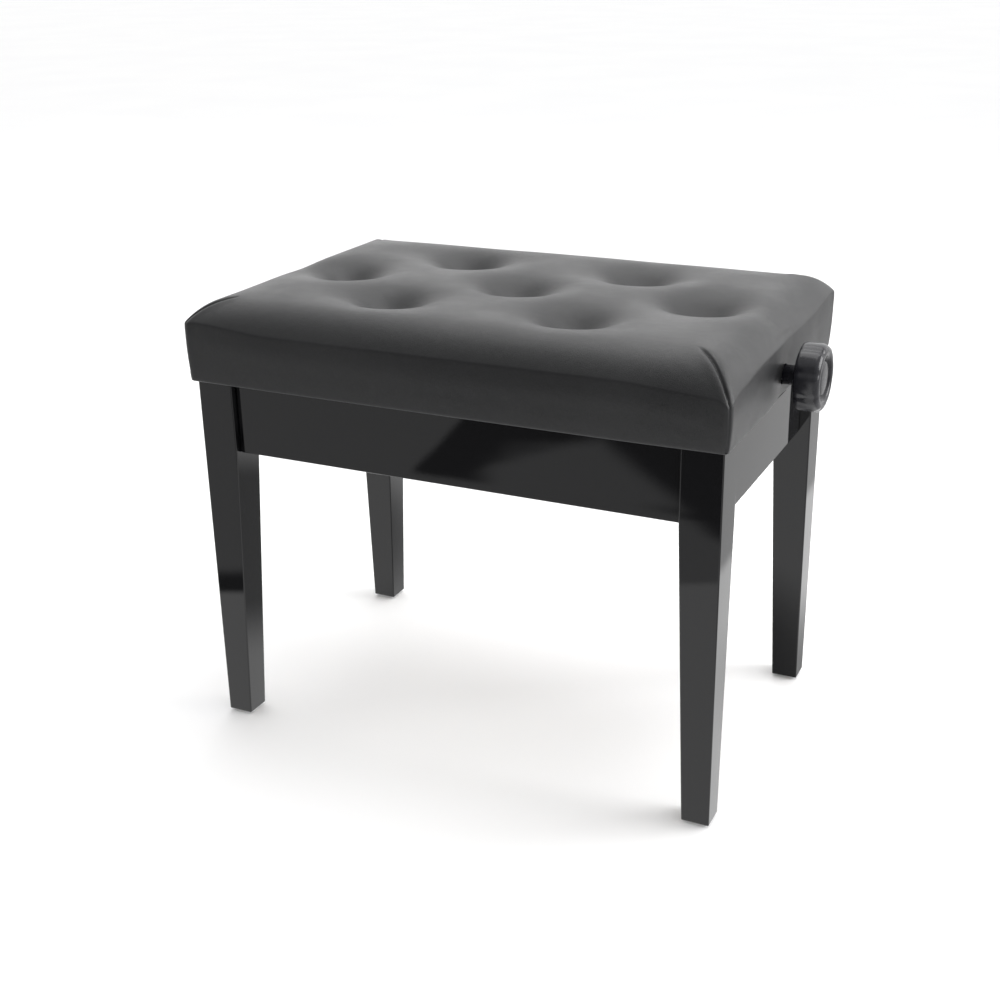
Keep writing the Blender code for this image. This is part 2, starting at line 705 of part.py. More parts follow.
def make_cover(finishes):
    """The leatherette cover: a sheet over the top and sides, turned under the rim, with the knobs' holes."""
    bm = cushion_sheet(0.0, 0.0)
    extrude_rim(bm, 1.0, 1.0, SEAT_BOTTOM)
    extrude_rim(
        bm,
        1 - 2 * COVER_TURN_UNDER / SEAT_LENGTH,
        1 - 2 * COVER_TURN_UNDER / SEAT_DEPTH,
        SEAT_BOTTOM,
    )
    cover = add_object("seat_cover", mesh_from("seat_cover", bm), finishes["leather"])
    sheet = cover.modifiers.new("sheet_thickness", "SOLIDIFY")
    sheet.thickness = COVER_THICKNESS
    sheet.offset = -1
    sheet.use_even_offset = True
    for end, sign in ENDS.items():
        middle = (sign * SEAT_LENGTH / 2, 0, SCREW_HEIGHT)
        cut(cover, round_cutter(f"neck_hole_{end}", COVER_HOLE_RADIUS, 0.012, middle, (1, 0, 0)))
    return cover


def make_foam(finishes):
    """The foam pad on the board, a closed block under the cover."""
    bm = cushion_sheet(COVER_THICKNESS + FOAM_GAP, COVER_THICKNESS + FOAM_DROP)
    extrude_rim(bm, 1.0, 1.0, BOARD_TOP + GAP)
    bmesh.ops.contextual_create(bm, geom=[edge for edge in bm.edges if edge.is_boundary])
    return add_object("seat_foam", mesh_from("seat_foam", bm), finishes["foam"])


def make_buttons(finishes):
    """Covered buttons that hold the tufts down."""
    radius, height = BUTTON_RADIUS, BUTTON_HEIGHT
    profile = [
        (0, height),
        (radius * 0.5, height * 0.9),
        (radius * 0.85, height * 0.6),
        (radius, height * 0.2),
        (radius * 0.9, 0),
        (0, 0),
    ]
    for number, (x, y) in enumerate(tuft_places(), start=1):
        lift = cushion_height(x, y) + BUTTON_LIFT
        turned(f"tuft_button_{number}", profile, (x, y, lift), (0, 0, 1), finishes["leather"], 16)


def make_seat(finishes):
    """Everything that rises with the seat."""
    make_seat_frame(finishes)
    make_foam(finishes)
    make_cover(finishes)
    make_buttons(finishes)


def make_lift(finishes):
    """The scissor, the nut, the lead screw and its knobs."""
    make_scissor(finishes)
    make_nut(finishes)
    make_screw(finishes)
    for end, sign in ENDS.items():
        make_knob(end, sign, finishes)


def make_base(finishes):
    """Legs, aprons, corner blocks and glides."""
    make_aprons(finishes)
    for side, side_y in SIDES.items():
        for end, side_x in ENDS.items():
            make_corner(end, side, side_x, side_y, finishes)


def main():
    clear_scene()
    make_collection(PARTS)
    make_collection(CUTTERS)
    finishes = make_materials()
    make_base(finishes)
    make_lift(finishes)
    make_seat(finishes)


main()
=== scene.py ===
"""Looks for a height-adjustable piano bench: lacquered legs, a tufted seat and a steel scissor lift."""

import logging
import math
import random
from contextlib import contextmanager
from dataclasses import dataclass
from enum import Enum
from typing import Callable, Iterable, Iterator, Optional, Sequence

import bmesh
import bpy
from mathutils import Matrix, Vector
from mathutils.bvhtree import BVHTree


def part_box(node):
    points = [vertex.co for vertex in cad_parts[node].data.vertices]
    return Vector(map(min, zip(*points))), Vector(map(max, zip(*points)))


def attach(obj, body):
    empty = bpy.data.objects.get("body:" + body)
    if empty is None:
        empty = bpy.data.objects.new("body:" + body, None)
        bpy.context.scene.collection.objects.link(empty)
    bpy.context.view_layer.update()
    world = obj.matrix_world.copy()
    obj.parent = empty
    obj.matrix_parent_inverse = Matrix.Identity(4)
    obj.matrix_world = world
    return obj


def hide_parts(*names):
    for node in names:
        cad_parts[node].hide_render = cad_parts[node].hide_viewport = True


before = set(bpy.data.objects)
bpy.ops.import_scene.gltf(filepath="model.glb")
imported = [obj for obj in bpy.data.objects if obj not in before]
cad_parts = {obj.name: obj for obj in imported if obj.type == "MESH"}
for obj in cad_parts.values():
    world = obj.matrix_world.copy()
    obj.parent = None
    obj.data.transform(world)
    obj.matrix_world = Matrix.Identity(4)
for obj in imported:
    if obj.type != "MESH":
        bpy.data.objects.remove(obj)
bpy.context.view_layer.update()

LOG = logging.getLogger("piano_bench")

Point = tuple[float, float, float]
Colour = tuple[float, float, float]
Span = tuple[float, float]
Mesh = bpy.types.Mesh
Object = bpy.types.Object
Node = bpy.types.Node
Socket = bpy.types.NodeSocket
Material = bpy.types.Material
Shape = bmesh.types.BMesh
Vertex = bmesh.types.BMVert


class Axis(Enum):
    """The three axes of the bench's own frame."""

    X = 0
    Y = 1
    Z = 2

    def vector(self) -> Vector:
        """The axis as a unit vector."""
        return Vector([1.0 if index == self.value else 0.0 for index in range(3)])


class Side(Enum):
    """The long sides of the bench."""

    FRONT = -1
    BACK = 1

    @property
    def label(self) -> str:
        """The side's name as the parts spell it."""
        return self.name.lower()


class End(Enum):
    """The two ends of the bench."""

    LEFT = -1
    RIGHT = 1

    @property
    def label(self) -> str:
        """The end's name as the parts spell it."""
        return self.name.lower()


# --------------------------------------------------------------------------------------------------
# Finishes
# --------------------------------------------------------------------------------------------------


@dataclass(frozen=True)
class Pattern:
    """A noise: the size of its features in metres, its finer layers, their strength and its stretch."""

    size: float
    detail: float = 2.0
    roughness: float = 0.5
    stretch: Optional[Point] = None


class Graph:
    """A small helper that adds nodes to one material and links them."""

    def __init__(self, name: str) -> None:
        """Start an empty Principled material.

        Args:
            name: The material's name.
        """
        self.material = bpy.data.materials.new(name)
        self.material.use_nodes = True
        self.nodes = self.material.node_tree.nodes
        self.links = self.material.node_tree.links
        self.shader = self.nodes["Principled BSDF"]
        self.place = self.nodes.new("ShaderNodeTexCoord").outputs["Object"]

    def add(self, kind: str, inputs: Optional[dict[object, object]] = None, **settings: object) -> Node:
        """Add a node, set its properties and feed its inputs.

        Args:
            kind: The node's type, without the ShaderNode prefix.
            inputs: Values or sockets for the node's inputs, by name or number.
            **settings: Values for the node's own properties.

        Returns:
            The new node.
        """
        node = self.nodes.new("ShaderNode" + kind)
        for key, value in settings.items():
            setattr(node, key, value)
        for key, value in (inputs or {}).items():
            self.feed(node.inputs[key], value)
        return node

    def feed(self, socket: Socket, value: object) -> None:
        """Link a socket to another, or set its value.

        Args:
            socket: The input to feed.
            value: Another socket, or a plain value.
        """
        if isinstance(value, bpy.types.NodeSocket):
            self.links.new(value, socket)
        else:
            socket.default_value = value

    def maths(self, operation: str, first: object, second: object = 0.0) -> Socket:
        """Add a Math node."""
        return self.add("Math", {0: first, 1: second}, operation=operation).outputs[0]

    def stretched(self, scale: Point) -> Socket:
        """The object's coordinates, scaled along each axis."""
        return self.add("Mapping", {"Vector": self.place, "Scale": scale}).outputs[0]

    def noise(self, pattern: Pattern) -> Socket:
        """The value of a noise."""
        inputs = {
            "Vector": self.stretched(pattern.stretch) if pattern.stretch else self.place,
            "Scale": 1.0 / pattern.size,
            "Detail": pattern.detail,
            "Roughness": pattern.roughness,
        }
        return self.add("TexNoise", inputs).outputs["Fac"]

    def cells(self, size: float, feature: str = "F1", vector: Optional[Socket] = None) -> Socket:
        """Distances in a pattern of cells of a real size."""
        inputs = {"Vector": vector or self.place, "Scale": 1.0 / size}
        return self.add("TexVoronoi", inputs, feature=feature).outputs["Distance"]

    def ramp(self, value: Socket, low: float, high: float, start: float = 0.0, end: float = 1.0) -> Socket:
        """Map a value smoothly from one range to another."""
        inputs = {"Value": value, "From Min": low, "From Max": high, "To Min": start, "To Max": end}
        return self.add("MapRange", inputs, interpolation_type="SMOOTHSTEP").outputs["Result"]

    def mix(self, factor: object, first: object, second: object) -> Socket:
        """Mix two colours."""
        colours = [(*value, 1.0) if isinstance(value, tuple) else value for value in (first, second)]
        return self.add("Mix", {0: factor, 6: colours[0], 7: colours[1]}, data_type="RGBA").outputs[2]

    def blend(self, factor: object, first: object, second: object) -> Socket:
        """Mix two numbers."""
        return self.add("Mix", {0: factor, 2: first, 3: second}, data_type="FLOAT").outputs[0]

    def plus(self, value: Socket, extra: Socket, share: float) -> Socket:
        """A value with a share of another added to it."""
        return self.maths("ADD", value, self.maths("MULTIPLY", extra, share))

    def stained(self, colour: object, mask: Socket, share: float, tint: Colour) -> Socket:
        """A colour with a share of a stain over it where a mask shows."""
        return self.mix(self.maths("MULTIPLY", mask, share), colour, tint)

    def bump(self, height: Socket, distance: float, below: Optional[Socket] = None) -> Socket:
        """Turn a height into a surface normal.

        Args:
            height: The height's socket, from 0 to 1.
            distance: The real height of a full step in metres.
            below: The normal of a coarser bump under this one.

        Returns:
            The normal's socket.
        """
        inputs = {"Height": height, "Distance": distance, "Strength": 1.0}
        if below is not None:
            inputs["Normal"] = below
        return self.add("Bump", inputs).outputs[0]

    def finish(self, linked: dict[str, object]) -> Material:
        """Feed the shader's sockets.

        Args:
            linked: Values or sockets for the shader's named inputs.

        Returns:
            The finished material.
        """
        for key, value in linked.items():
            if isinstance(value, tuple) and len(value) == 3:
                value = (*value, 1.0)
            self.feed(self.shader.inputs[key], value)
        return self.material


@dataclass(frozen=True)
class PianoLacquer:
    """Polished black polyester lacquer over wood: deep gloss, faint waves, orange peel and dust."""

    name: str = "piano_lacquer"
    tint: Colour = (0.0035, 0.0035, 0.0042)
    waves: Pattern = Pattern(0.055, 1.0)
    wave_height: float = 0.00009
    peel: Pattern = Pattern(0.0035)
    peel_height: float = 0.0000035
    smears: Pattern = Pattern(0.06, 4.0, 0.65, (1.0, 1.0, 0.35))
    polish: Span = (0.035, 0.10)
    dust: Colour = (0.05, 0.05, 0.055)
    dust_gap: float = 0.0042
    dust_size: float = 0.045
    dust_zones: Pattern = Pattern(0.03, 1.0)
    dust_level: float = 0.56
    dust_strength: float = 0.35
    dust_roughness: float = 0.25
    coat_ior: float = 1.43
    coat_roughness: float = 0.03

    def material(self) -> Material:
        """The lacquer as a material."""
        graph = Graph(self.name)
        specks = graph.maths("LESS_THAN", graph.cells(self.dust_gap), self.dust_size)
        zones = graph.maths("GREATER_THAN", graph.noise(self.dust_zones), self.dust_level)
        dusty = graph.maths("MULTIPLY", specks, zones)
        rough = graph.ramp(graph.noise(self.smears), 0.35, 0.75, *self.polish)
        wavy = graph.bump(graph.noise(self.waves), self.wave_height)
        normal = graph.bump(graph.noise(self.peel), self.peel_height, wavy)
        return graph.finish(
            {
                "Base Color": graph.stained(self.tint, dusty, self.dust_strength, self.dust),
                "Roughness": graph.plus(rough, dusty, self.dust_roughness),
                "Specular IOR Level": 0.0,
                "Coat Weight": 1.0,
                "Coat IOR": self.coat_ior,
                "Coat Roughness": self.coat_roughness,
                "Normal": normal,
                "Coat Normal": normal,
            }
        )


@dataclass(frozen=True)
class Leatherette:
    """Satin black leatherette: a fine pebble grain, pores, faint colour drift and a soft sheen."""

    name: str = "black_leatherette"
    tint: Colour = (0.0042, 0.0045, 0.0055)
    worn: Colour = (0.0070, 0.0073, 0.0083)
    valley: Colour = (0.006, 0.006, 0.007)
    pebble_size: float = 0.0011
    pebble_height: float = 0.00007
    warp: Pattern = Pattern(0.004)
    warp_reach: float = 0.0012
    pores: Pattern = Pattern(0.00045, 2.0, 0.6)
    pore_depth: float = 0.00002
    creases: Pattern = Pattern(0.010, 3.0, 0.6)
    crease_depth: float = 0.00025
    drift: Pattern = Pattern(0.085, 3.0, 0.55)
    roughness: float = 0.36
    valley_roughness: float = 0.12
    gloss: float = 0.42
    sheen: float = 0.02
    sheen_roughness: float = 0.45

    def material(self) -> Material:
        """The leatherette as a material."""
        graph = Graph(self.name)
        nudge = graph.maths("MULTIPLY", graph.noise(self.warp), self.warp_reach)
        shifted = graph.add("VectorMath", {0: graph.place, 1: nudge}, operation="ADD").outputs[0]
        pebbles = graph.cells(self.pebble_size, "DISTANCE_TO_EDGE", shifted)
        valley = graph.ramp(pebbles, 0.0, 0.10, 0.55, 0.0)
        drift = graph.noise(self.drift)
        colour = graph.mix(graph.ramp(drift, 0.30, 0.75), self.tint, self.worn)
        rough = graph.ramp(drift, 0.30, 0.70, self.roughness - 0.05, self.roughness + 0.06)
        creased = graph.bump(graph.noise(self.creases), self.crease_depth)
        grain = graph.bump(graph.ramp(pebbles, 0.0, 0.28), self.pebble_height, creased)
        return graph.finish(
            {
                "Base Color": graph.mix(valley, colour, self.valley),
                "Roughness": graph.plus(rough, valley, self.valley_roughness),
                "Specular IOR Level": self.gloss,
                "Sheen Weight": self.sheen,
                "Sheen Roughness": self.sheen_roughness,
                "Normal": graph.bump(graph.noise(self.pores), self.pore_depth, grain),
            }
        )


@dataclass(frozen=True)
class MouldedPlastic:
    """Injection-moulded plastic with a fine sink and flow pattern."""

    name: str
    tint: Colour
    pale: Colour
    roughness: float
    texture_height: float = 0.000012
    subsurface: float = 0.0
    flow: Pattern = Pattern(0.012, 3.0, 0.6)
    flow_height: float = 0.00002
    skin: Pattern = Pattern(0.0006, 2.0, 0.6)
    scuffs: Pattern = Pattern(0.004, 4.0, 0.7, (3.0, 1.0, 1.0))
    scuff_roughness: float = 0.12
    gloss: float = 0.4

    def material(self) -> Material:
        """The plastic as a material."""
        graph = Graph(self.name)
        flow = graph.noise(self.flow)
        scuffs = graph.ramp(graph.noise(self.scuffs), 0.58, 0.75)
        rough = graph.ramp(flow, 0.3, 0.7, self.roughness - 0.03, self.roughness + 0.05)
        sunk = graph.bump(flow, self.flow_height)
        return graph.finish(
            {
                "Base Color": graph.mix(graph.ramp(flow, 0.35, 0.75), self.tint, self.pale),
                "Roughness": graph.plus(rough, scuffs, self.scuff_roughness),
                "Specular IOR Level": self.gloss,
                "Subsurface Weight": self.subsurface,
                "Normal": graph.bump(graph.noise(self.skin), self.texture_height, sunk),
            }
        )


@dataclass(frozen=True)
class PowderCoat:
    """Black powder coat on rolled steel, worn to grey where parts rub."""

    name: str = "black_powder_coat"
    tint: Colour = (0.018, 0.018, 0.019)
    rubbed: Colour = (0.09, 0.09, 0.088)
    rub_strength: float = 0.6
    scratches: Pattern = Pattern(0.0016, 5.0, 0.7, (0.05, 1.0, 1.0))
    patches: Pattern = Pattern(0.02, 4.0, 0.6)
    patch_height: float = 0.00008
    peel: Pattern = Pattern(0.0012)
    peel_height: float = 0.00003
    roughness: Span = (0.38, 0.52)
    gloss: float = 0.5

    def material(self) -> Material:
        """The coat as a material."""
        graph = Graph(self.name)
        patches = graph.noise(self.patches)
        rubbed = graph.ramp(graph.noise(self.scratches), 0.62, 0.78)
        uneven = graph.bump(patches, self.patch_height)
        return graph.finish(
            {
                "Base Color": graph.stained(self.tint, rubbed, self.rub_strength, self.rubbed),
                "Roughness": graph.ramp(patches, 0.3, 0.7, *self.roughness),
                "Specular IOR Level": self.gloss,
                "Normal": graph.bump(graph.noise(self.peel), self.peel_height, uneven),
            }
        )


@dataclass(frozen=True)
class BareMetal:
    """Plated or machined metal with fine turning lines and tarnish."""

    name: str
    tint: Colour
    tarnish: Colour
    roughness: float
    clouds: Pattern = Pattern(0.009, 4.0, 0.6)
    cloud_height: float = 0.00003
    lines: Pattern = Pattern(0.0007, 3.0, 0.6, (1.0, 1.0, 1.0))
    line_height: float = 0.00001
    grime: Pattern = Pattern(0.003, 5.0, 0.7)
    grime_tint: Colour = (0.12, 0.11, 0.09)
    grime_strength: float = 0.35
    grime_roughness: float = 0.15

    def material(self) -> Material:
        """The metal as a material."""
        graph = Graph(self.name)
        clouds = graph.noise(self.clouds)
        grime = graph.ramp(graph.noise(self.grime), 0.52, 0.72)
        colour = graph.mix(graph.ramp(clouds, 0.3, 0.75), self.tint, self.tarnish)
        rough = graph.ramp(clouds, 0.3, 0.7, self.roughness - 0.06, self.roughness + 0.1)
        uneven = graph.bump(clouds, self.cloud_height)
        return graph.finish(
            {
                "Base Color": graph.stained(colour, grime, self.grime_strength, self.grime_tint),
                "Metallic": 1.0,
                "Roughness": graph.plus(rough, grime, self.grime_roughness),
                "Normal": graph.bump(graph.noise(self.lines), self.line_height, uneven),
            }
        )


@dataclass(frozen=True)
class BareWood:
    """Sanded birch: long grain streaks, growth bands and pores along one axis."""

    name: str
    grain: Axis
    early: Colour = (0.60, 0.44, 0.27)
    late: Colour = (0.42, 0.28, 0.15)
    plies: float = 0.0
    pore_tint: Colour = (0.16, 0.10, 0.05)
    pore_strength: float = 0.5
    pore_depth: float = 0.00008
    streak_height: float = 0.00006
    ply_tint: Colour = (0.22, 0.13, 0.07)
    ply_strength: float = 0.55
    roughness: Span = (0.5, 0.68)

    def material(self) -> Material:
        """The wood as a material."""
        graph = Graph(self.name)
        along = tuple(0.06 if axis is self.grain else 1.0 for axis in Axis)
        bands = graph.noise(Pattern(0.011, 3.0, 0.6, along))
        streaks = graph.noise(Pattern(0.0016, 4.0, 0.65, along))
        pores = graph.ramp(graph.noise(Pattern(0.0005, 2.0, 0.6, along)), 0.60, 0.72)
        colour = graph.mix(graph.ramp(bands, 0.35, 0.68), self.early, self.late)
        colour = graph.mix(graph.ramp(streaks, 0.40, 0.75, 0.0, 0.45), colour, self.late)
        colour = graph.stained(colour, pores, self.pore_strength, self.pore_tint)
        if self.plies:
            colour = graph.stained(colour, self.layers(graph), self.ply_strength, self.ply_tint)
        sunk = graph.bump(pores, self.pore_depth)
        return graph.finish(
            {
                "Base Color": colour,
                "Roughness": graph.ramp(streaks, 0.3, 0.7, *self.roughness),
                "Normal": graph.bump(streaks, self.streak_height, sunk),
            }
        )

    def layers(self, graph: Graph) -> Socket:
        """A mask of every second ply, which shows only on upright edges.

        Args:
            graph: The material's graph.

        Returns:
            The mask, from 0 to 1.
        """
        height = graph.add("SeparateXYZ", {"Vector": graph.place}).outputs["Z"]
        turns = graph.maths("MULTIPLY", height, math.pi / self.plies)
        wave = graph.maths("ABSOLUTE", graph.maths("SINE", turns))
        upright = graph.add("SeparateXYZ", {"Vector": graph.add("NewGeometry").outputs["Normal"]})
        edge = graph.maths("LESS_THAN", graph.maths("ABSOLUTE", upright.outputs["Z"]), 0.5)
        return graph.maths("MULTIPLY", graph.ramp(wave, 0.35, 0.55), edge)


class Finishes:
    """Every finish on the bench, made once."""

    def __init__(self) -> None:
        """Make the materials."""
        self.lacquer = PianoLacquer().material()
        self.leather = Leatherette().material()
        self.knob = MouldedPlastic(
            "black_knob_plastic", (0.010, 0.010, 0.013), (0.018, 0.018, 0.022), 0.2
        ).material()
        self.nylon = MouldedPlastic(
            "white_nylon", (0.74, 0.72, 0.66), (0.82, 0.81, 0.77), 0.42, 0.00002, 0.15
        ).material()
        self.coat = PowderCoat().material()
        self.zinc = BareMetal("zinc_plate", (0.62, 0.63, 0.62), (0.50, 0.50, 0.44), 0.30).material()
        rolled = BareMetal("rolled_thread_steel", (0.56, 0.56, 0.55), (0.40, 0.39, 0.36), 0.32)
        self.screw = rolled.material()
        self.brass = BareMetal("machined_brass", (0.74, 0.56, 0.27), (0.52, 0.38, 0.18), 0.28).material()
        self.rim_long = BareWood("birch_long_rail", Axis.X).material()
        self.rim_short = BareWood("birch_short_rail", Axis.Y).material()
        self.block = BareWood("birch_block", Axis.Z, (0.55, 0.40, 0.24)).material()
        self.board = BareWood(
            "birch_plywood", Axis.X, (0.62, 0.47, 0.30), (0.48, 0.33, 0.19), 0.0022
        ).material()


# --------------------------------------------------------------------------------------------------
# Mesh helpers
# --------------------------------------------------------------------------------------------------


def clamped(value: float) -> float:
    """A value kept from 0 to 1."""
    return min(1.0, max(0.0, value))


def corners(node: str) -> tuple[Vector, Vector]:
    """The lowest and the highest corner of a part's box."""
    low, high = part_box(node)
    return Vector(low), Vector(high)


def new_object(name: str, mesh: Mesh, material: Optional[Material] = None) -> Object:
    """Put a mesh in the scene.

    Args:
        name: The object's name.
        mesh: Its mesh.
        material: Its finish.

    Returns:
        The new object.
    """
    obj = bpy.data.objects.new(name, mesh)
    bpy.context.scene.collection.objects.link(obj)
    if material is not None:
        mesh.materials.clear()
        mesh.materials.append(material)
    return obj


def mesh_of(name: str, bm: Shape, smooth: bool = True) -> Mesh:
    """Write a bmesh to a mesh.

    Args:
        name: The mesh's name.
        bm: The bmesh, which is freed.
        smooth: Whether the faces are shaded smooth.

    Returns:
        The mesh.
    """
    mesh = bpy.data.meshes.new(name)
    for face in bm.faces:
        face.smooth = smooth
    bm.to_mesh(mesh)
    bm.free()
    return mesh


@contextmanager
def editing(obj: Object) -> Iterator[Shape]:
    """Open an object's mesh for changes and write it back afterwards."""
    bm = bmesh.new()
    bm.from_mesh(obj.data)
    yield bm
    bm.to_mesh(obj.data)
    bm.free()


def weighted(obj: Object) -> None:
    """Keep large faces flat in shading while their rounded edges blend."""
    modifier = obj.modifiers.new("even_shading", "WEIGHTED_NORMAL")
    modifier.keep_sharp = True
    modifier.weight = 100


def dress(node: str, material: Material, angle: float = 35.0) -> None:
    """Give a carried-over part its finish.

    Args:
        node: The part's name.
        material: Its finish.
        angle: The angle in degrees over which an edge stays sharp.
    """
    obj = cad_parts[node]
    obj.data.materials.clear()
    obj.data.materials.append(material)
    obj.data.shade_smooth()
    sharpen(obj, angle)


def settle(obj: Object, body: str, replaced: Sequence[str] = ()) -> None:
    """Fix a piece to its body and the parts it stands for, and report it.

    Args:
        obj: The piece.
        body: The body it rides on.
        replaced: The parts that it stands for.
    """
    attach(obj, body)
    if replaced:
        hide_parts(*replaced)
    LOG.info("%s: %d faces", obj.name, len(obj.data.polygons))


def sharpen(obj: Object, angle: float) -> None:
    """Keep edges that turn by more than an angle in degrees sharp."""
    obj.data.set_sharp_from_angle(angle=math.radians(angle))


def turned(
    profile: Sequence[Span],
    steps: int = 48,
    reach: Optional[Callable[[int, int], float]] = None,
) -> Shape:
    """Turn a profile about Z.

    Args:
        profile: Points of radius and height, in order from one end to the other.
        steps: The number of points around.
        reach: The radius for a point's number and a step round it, where it isn't just the point's radius.

    Returns:
        A closed shape where the profile begins and ends on the axis.
    """
    bm = bmesh.new()
    rings = []
    for number, (radius, height) in enumerate(profile):
        if radius == 0.0:
            rings.append([bm.verts.new((0.0, 0.0, height))])
            continue
        ring = []
        for step in range(steps):
            angle = 2 * math.pi * step / steps
            out = reach(number, step) if reach else radius
            ring.append(bm.verts.new((out * math.cos(angle), out * math.sin(angle), height)))
        rings.append(ring)
    join_rings(bm, rings)
    bmesh.ops.recalc_face_normals(bm, faces=bm.faces)
    return bm


def join_rings(bm: Shape, rings: Sequence[Sequence[Vertex]]) -> None:
    """Span each ring of vertices to the next with faces.

    Args:
        bm: The bmesh that holds them.
        rings: Rings of equal length, or single points.
    """
    for lower, upper in zip(rings, rings[1:]):
        count = max(len(lower), len(upper))
        for step in range(count):
            after = (step + 1) % count
            face = [lower[step % len(lower)], lower[after % len(lower)]]
            face += [upper[after % len(upper)], upper[step % len(upper)]]
            bm.faces.new(dict.fromkeys(face))


def aim(bm: Shape, direction: Vector, place: Vector) -> Shape:
    """Turn a shape made about Z to another axis and move it."""
    turn = Vector((0, 0, 1)).rotation_difference(direction).to_matrix().to_4x4()
    bmesh.ops.transform(bm, matrix=Matrix.Translation(place) @ turn, verts=bm.verts)
    return bm


def rounded_box(low: Vector, high: Vector, radius: float, segments: int = 3) -> Shape:
    """A box with rounded edges.

    Args:
        low: Its lowest corner.
        high: Its highest corner.
        radius: The radius of its edges.
        segments: The number of faces around an edge.

    Returns:
        The box.
    """
    bm = bmesh.new()
    size = high - low
    place = Matrix.Translation((low + high) / 2) @ Matrix.Diagonal((*size, 1.0))
    bmesh.ops.create_cube(bm, size=1.0, matrix=place)
    round_edges(bm, radius, segments)
    return bm


def round_edges(bm: Shape, radius: float, segments: int = 3, least: float = 30.0) -> None:
    """Round every edge that turns by more than an angle."""
    limit = math.radians(least)
    edges = [edge for edge in bm.edges if len(edge.link_faces) == 2 and edge.calc_face_angle() > limit]
    bmesh.ops.bevel(bm, geom=edges, offset=radius, segments=segments, profile=0.5, affect="EDGES")


def merged(pieces: Iterable[Shape]) -> Shape:
    """Join several shapes into one bmesh."""
    whole = bmesh.new()
    for piece in pieces:
        spare = bpy.data.meshes.new("spare")
        piece.to_mesh(spare)
        piece.free()
        whole.from_mesh(spare)
        bpy.data.meshes.remove(spare)
    return whole


# --------------------------------------------------------------------------------------------------
# Wooden base
# --------------------------------------------------------------------------------------------------


@dataclass
class LegSet:
    """Four square legs whose two inner faces taper below the aprons."""

    material: Material
    foot: float = 0.028
    taper_start: float = 0.308
    edge: float = 0.0014

    def build(self) -> None:
        """Make the four legs."""
        for side in Side:
            for end in End:
                self.leg(side, end)

    def leg(self, side: Side, end: End) -> None:
        """Make one leg.

        Args:
            side: Its long side of the bench.
            end: Its end of the bench.
        """
        name = f"leg_{side.label}_{end.label}"
        low, high = corners(name)
        section = high.x - low.x
        outer = Vector((high.x if end is End.RIGHT else low.x, high.y if side is Side.BACK else low.y, 0.0))
        bm = bmesh.new()
        rings = []
        for height, width in ((low.z, self.foot), (self.taper_start, section), (high.z, section)):
            inner = outer - Vector((end.value * width, side.value * width, 0.0))
            square = ((outer.x, outer.y), (inner.x, outer.y), (inner.x, inner.y), (outer.x, inner.y))
            rings.append([bm.verts.new((x, y, height)) for x, y in square])
        join_rings(bm, rings)
        bm.faces.new(rings[0])
        bm.faces.new(rings[-1])
        bmesh.ops.recalc_face_normals(bm, faces=bm.faces)
        round_edges(bm, self.edge, 4)
        leg = new_object(f"lacquered_{name}", mesh_of(name, bm), self.material)
        weighted(leg)
        settle(leg, "base", [name])


@dataclass
class ApronSet:
    """Four lacquered aprons between the legs."""

    material: Material
    edge: float = 0.0012

    def build(self) -> None:
        """Make the four aprons."""
        for name in ("front", "back", "left", "right"):
            low, high = corners(f"apron_{name}")
            bm = rounded_box(low, high, self.edge, 4)
            apron = new_object(f"lacquered_apron_{name}", mesh_of(name, bm), self.material)
            weighted(apron)
            settle(apron, "base", [f"apron_{name}"])


@dataclass
class GlideSet:
    """Nylon glides with a sunk nail, one under each leg."""

    nylon: Material
    zinc: Material
    chamfer: float = 0.0006
    well_radius: float = 0.0036
    well_depth_share: float = 0.55
    nail_radius: float = 0.0024
    nail_height: float = 0.0007
    nail_dome: float = 0.0003

    def build(self) -> None:
        """Make a glide and its nail under each leg."""
        for side in Side:
            for end in End:
                self.glide(f"glide_{side.label}_{end.label}")

    def glide(self, node: str) -> None:
        """Make one glide with its nail.

        Args:
            node: The part that it stands for.
        """
        low, high = corners(node)
        radius, top = (high.x - low.x) / 2, high.z - low.z
        depth = top * self.well_depth_share
        profile = [
            (0.0, top),
            (radius, top),
            (radius, self.chamfer),
            (radius - self.chamfer, 0.0),
            (self.well_radius + self.chamfer, 0.0),
            (self.well_radius, self.chamfer),
            (self.well_radius, depth),
            (0.0, depth),
        ]
        place = Vector(((low.x + high.x) / 2, (low.y + high.y) / 2, low.z))
        bm = aim(turned(profile), Axis.Z.vector(), place)
        glide = new_object(f"nylon_{node}", mesh_of(node, bm), self.nylon)
        sharpen(glide, 30)
        settle(glide, "base", [node])
        nail_radius, tall = self.nail_radius, self.nail_height
        head = [(0.0, 0.0), (nail_radius, self.nail_dome), (nail_radius, tall), (0.0, tall)]
        bm = aim(turned(head, 20), Axis.Z.vector(), place + Vector((0, 0, depth - tall)))
        nail = new_object(f"nail_{node}", mesh_of(node, bm), self.zinc)
        settle(nail, "base")


# --------------------------------------------------------------------------------------------------
# Cushion
# --------------------------------------------------------------------------------------------------


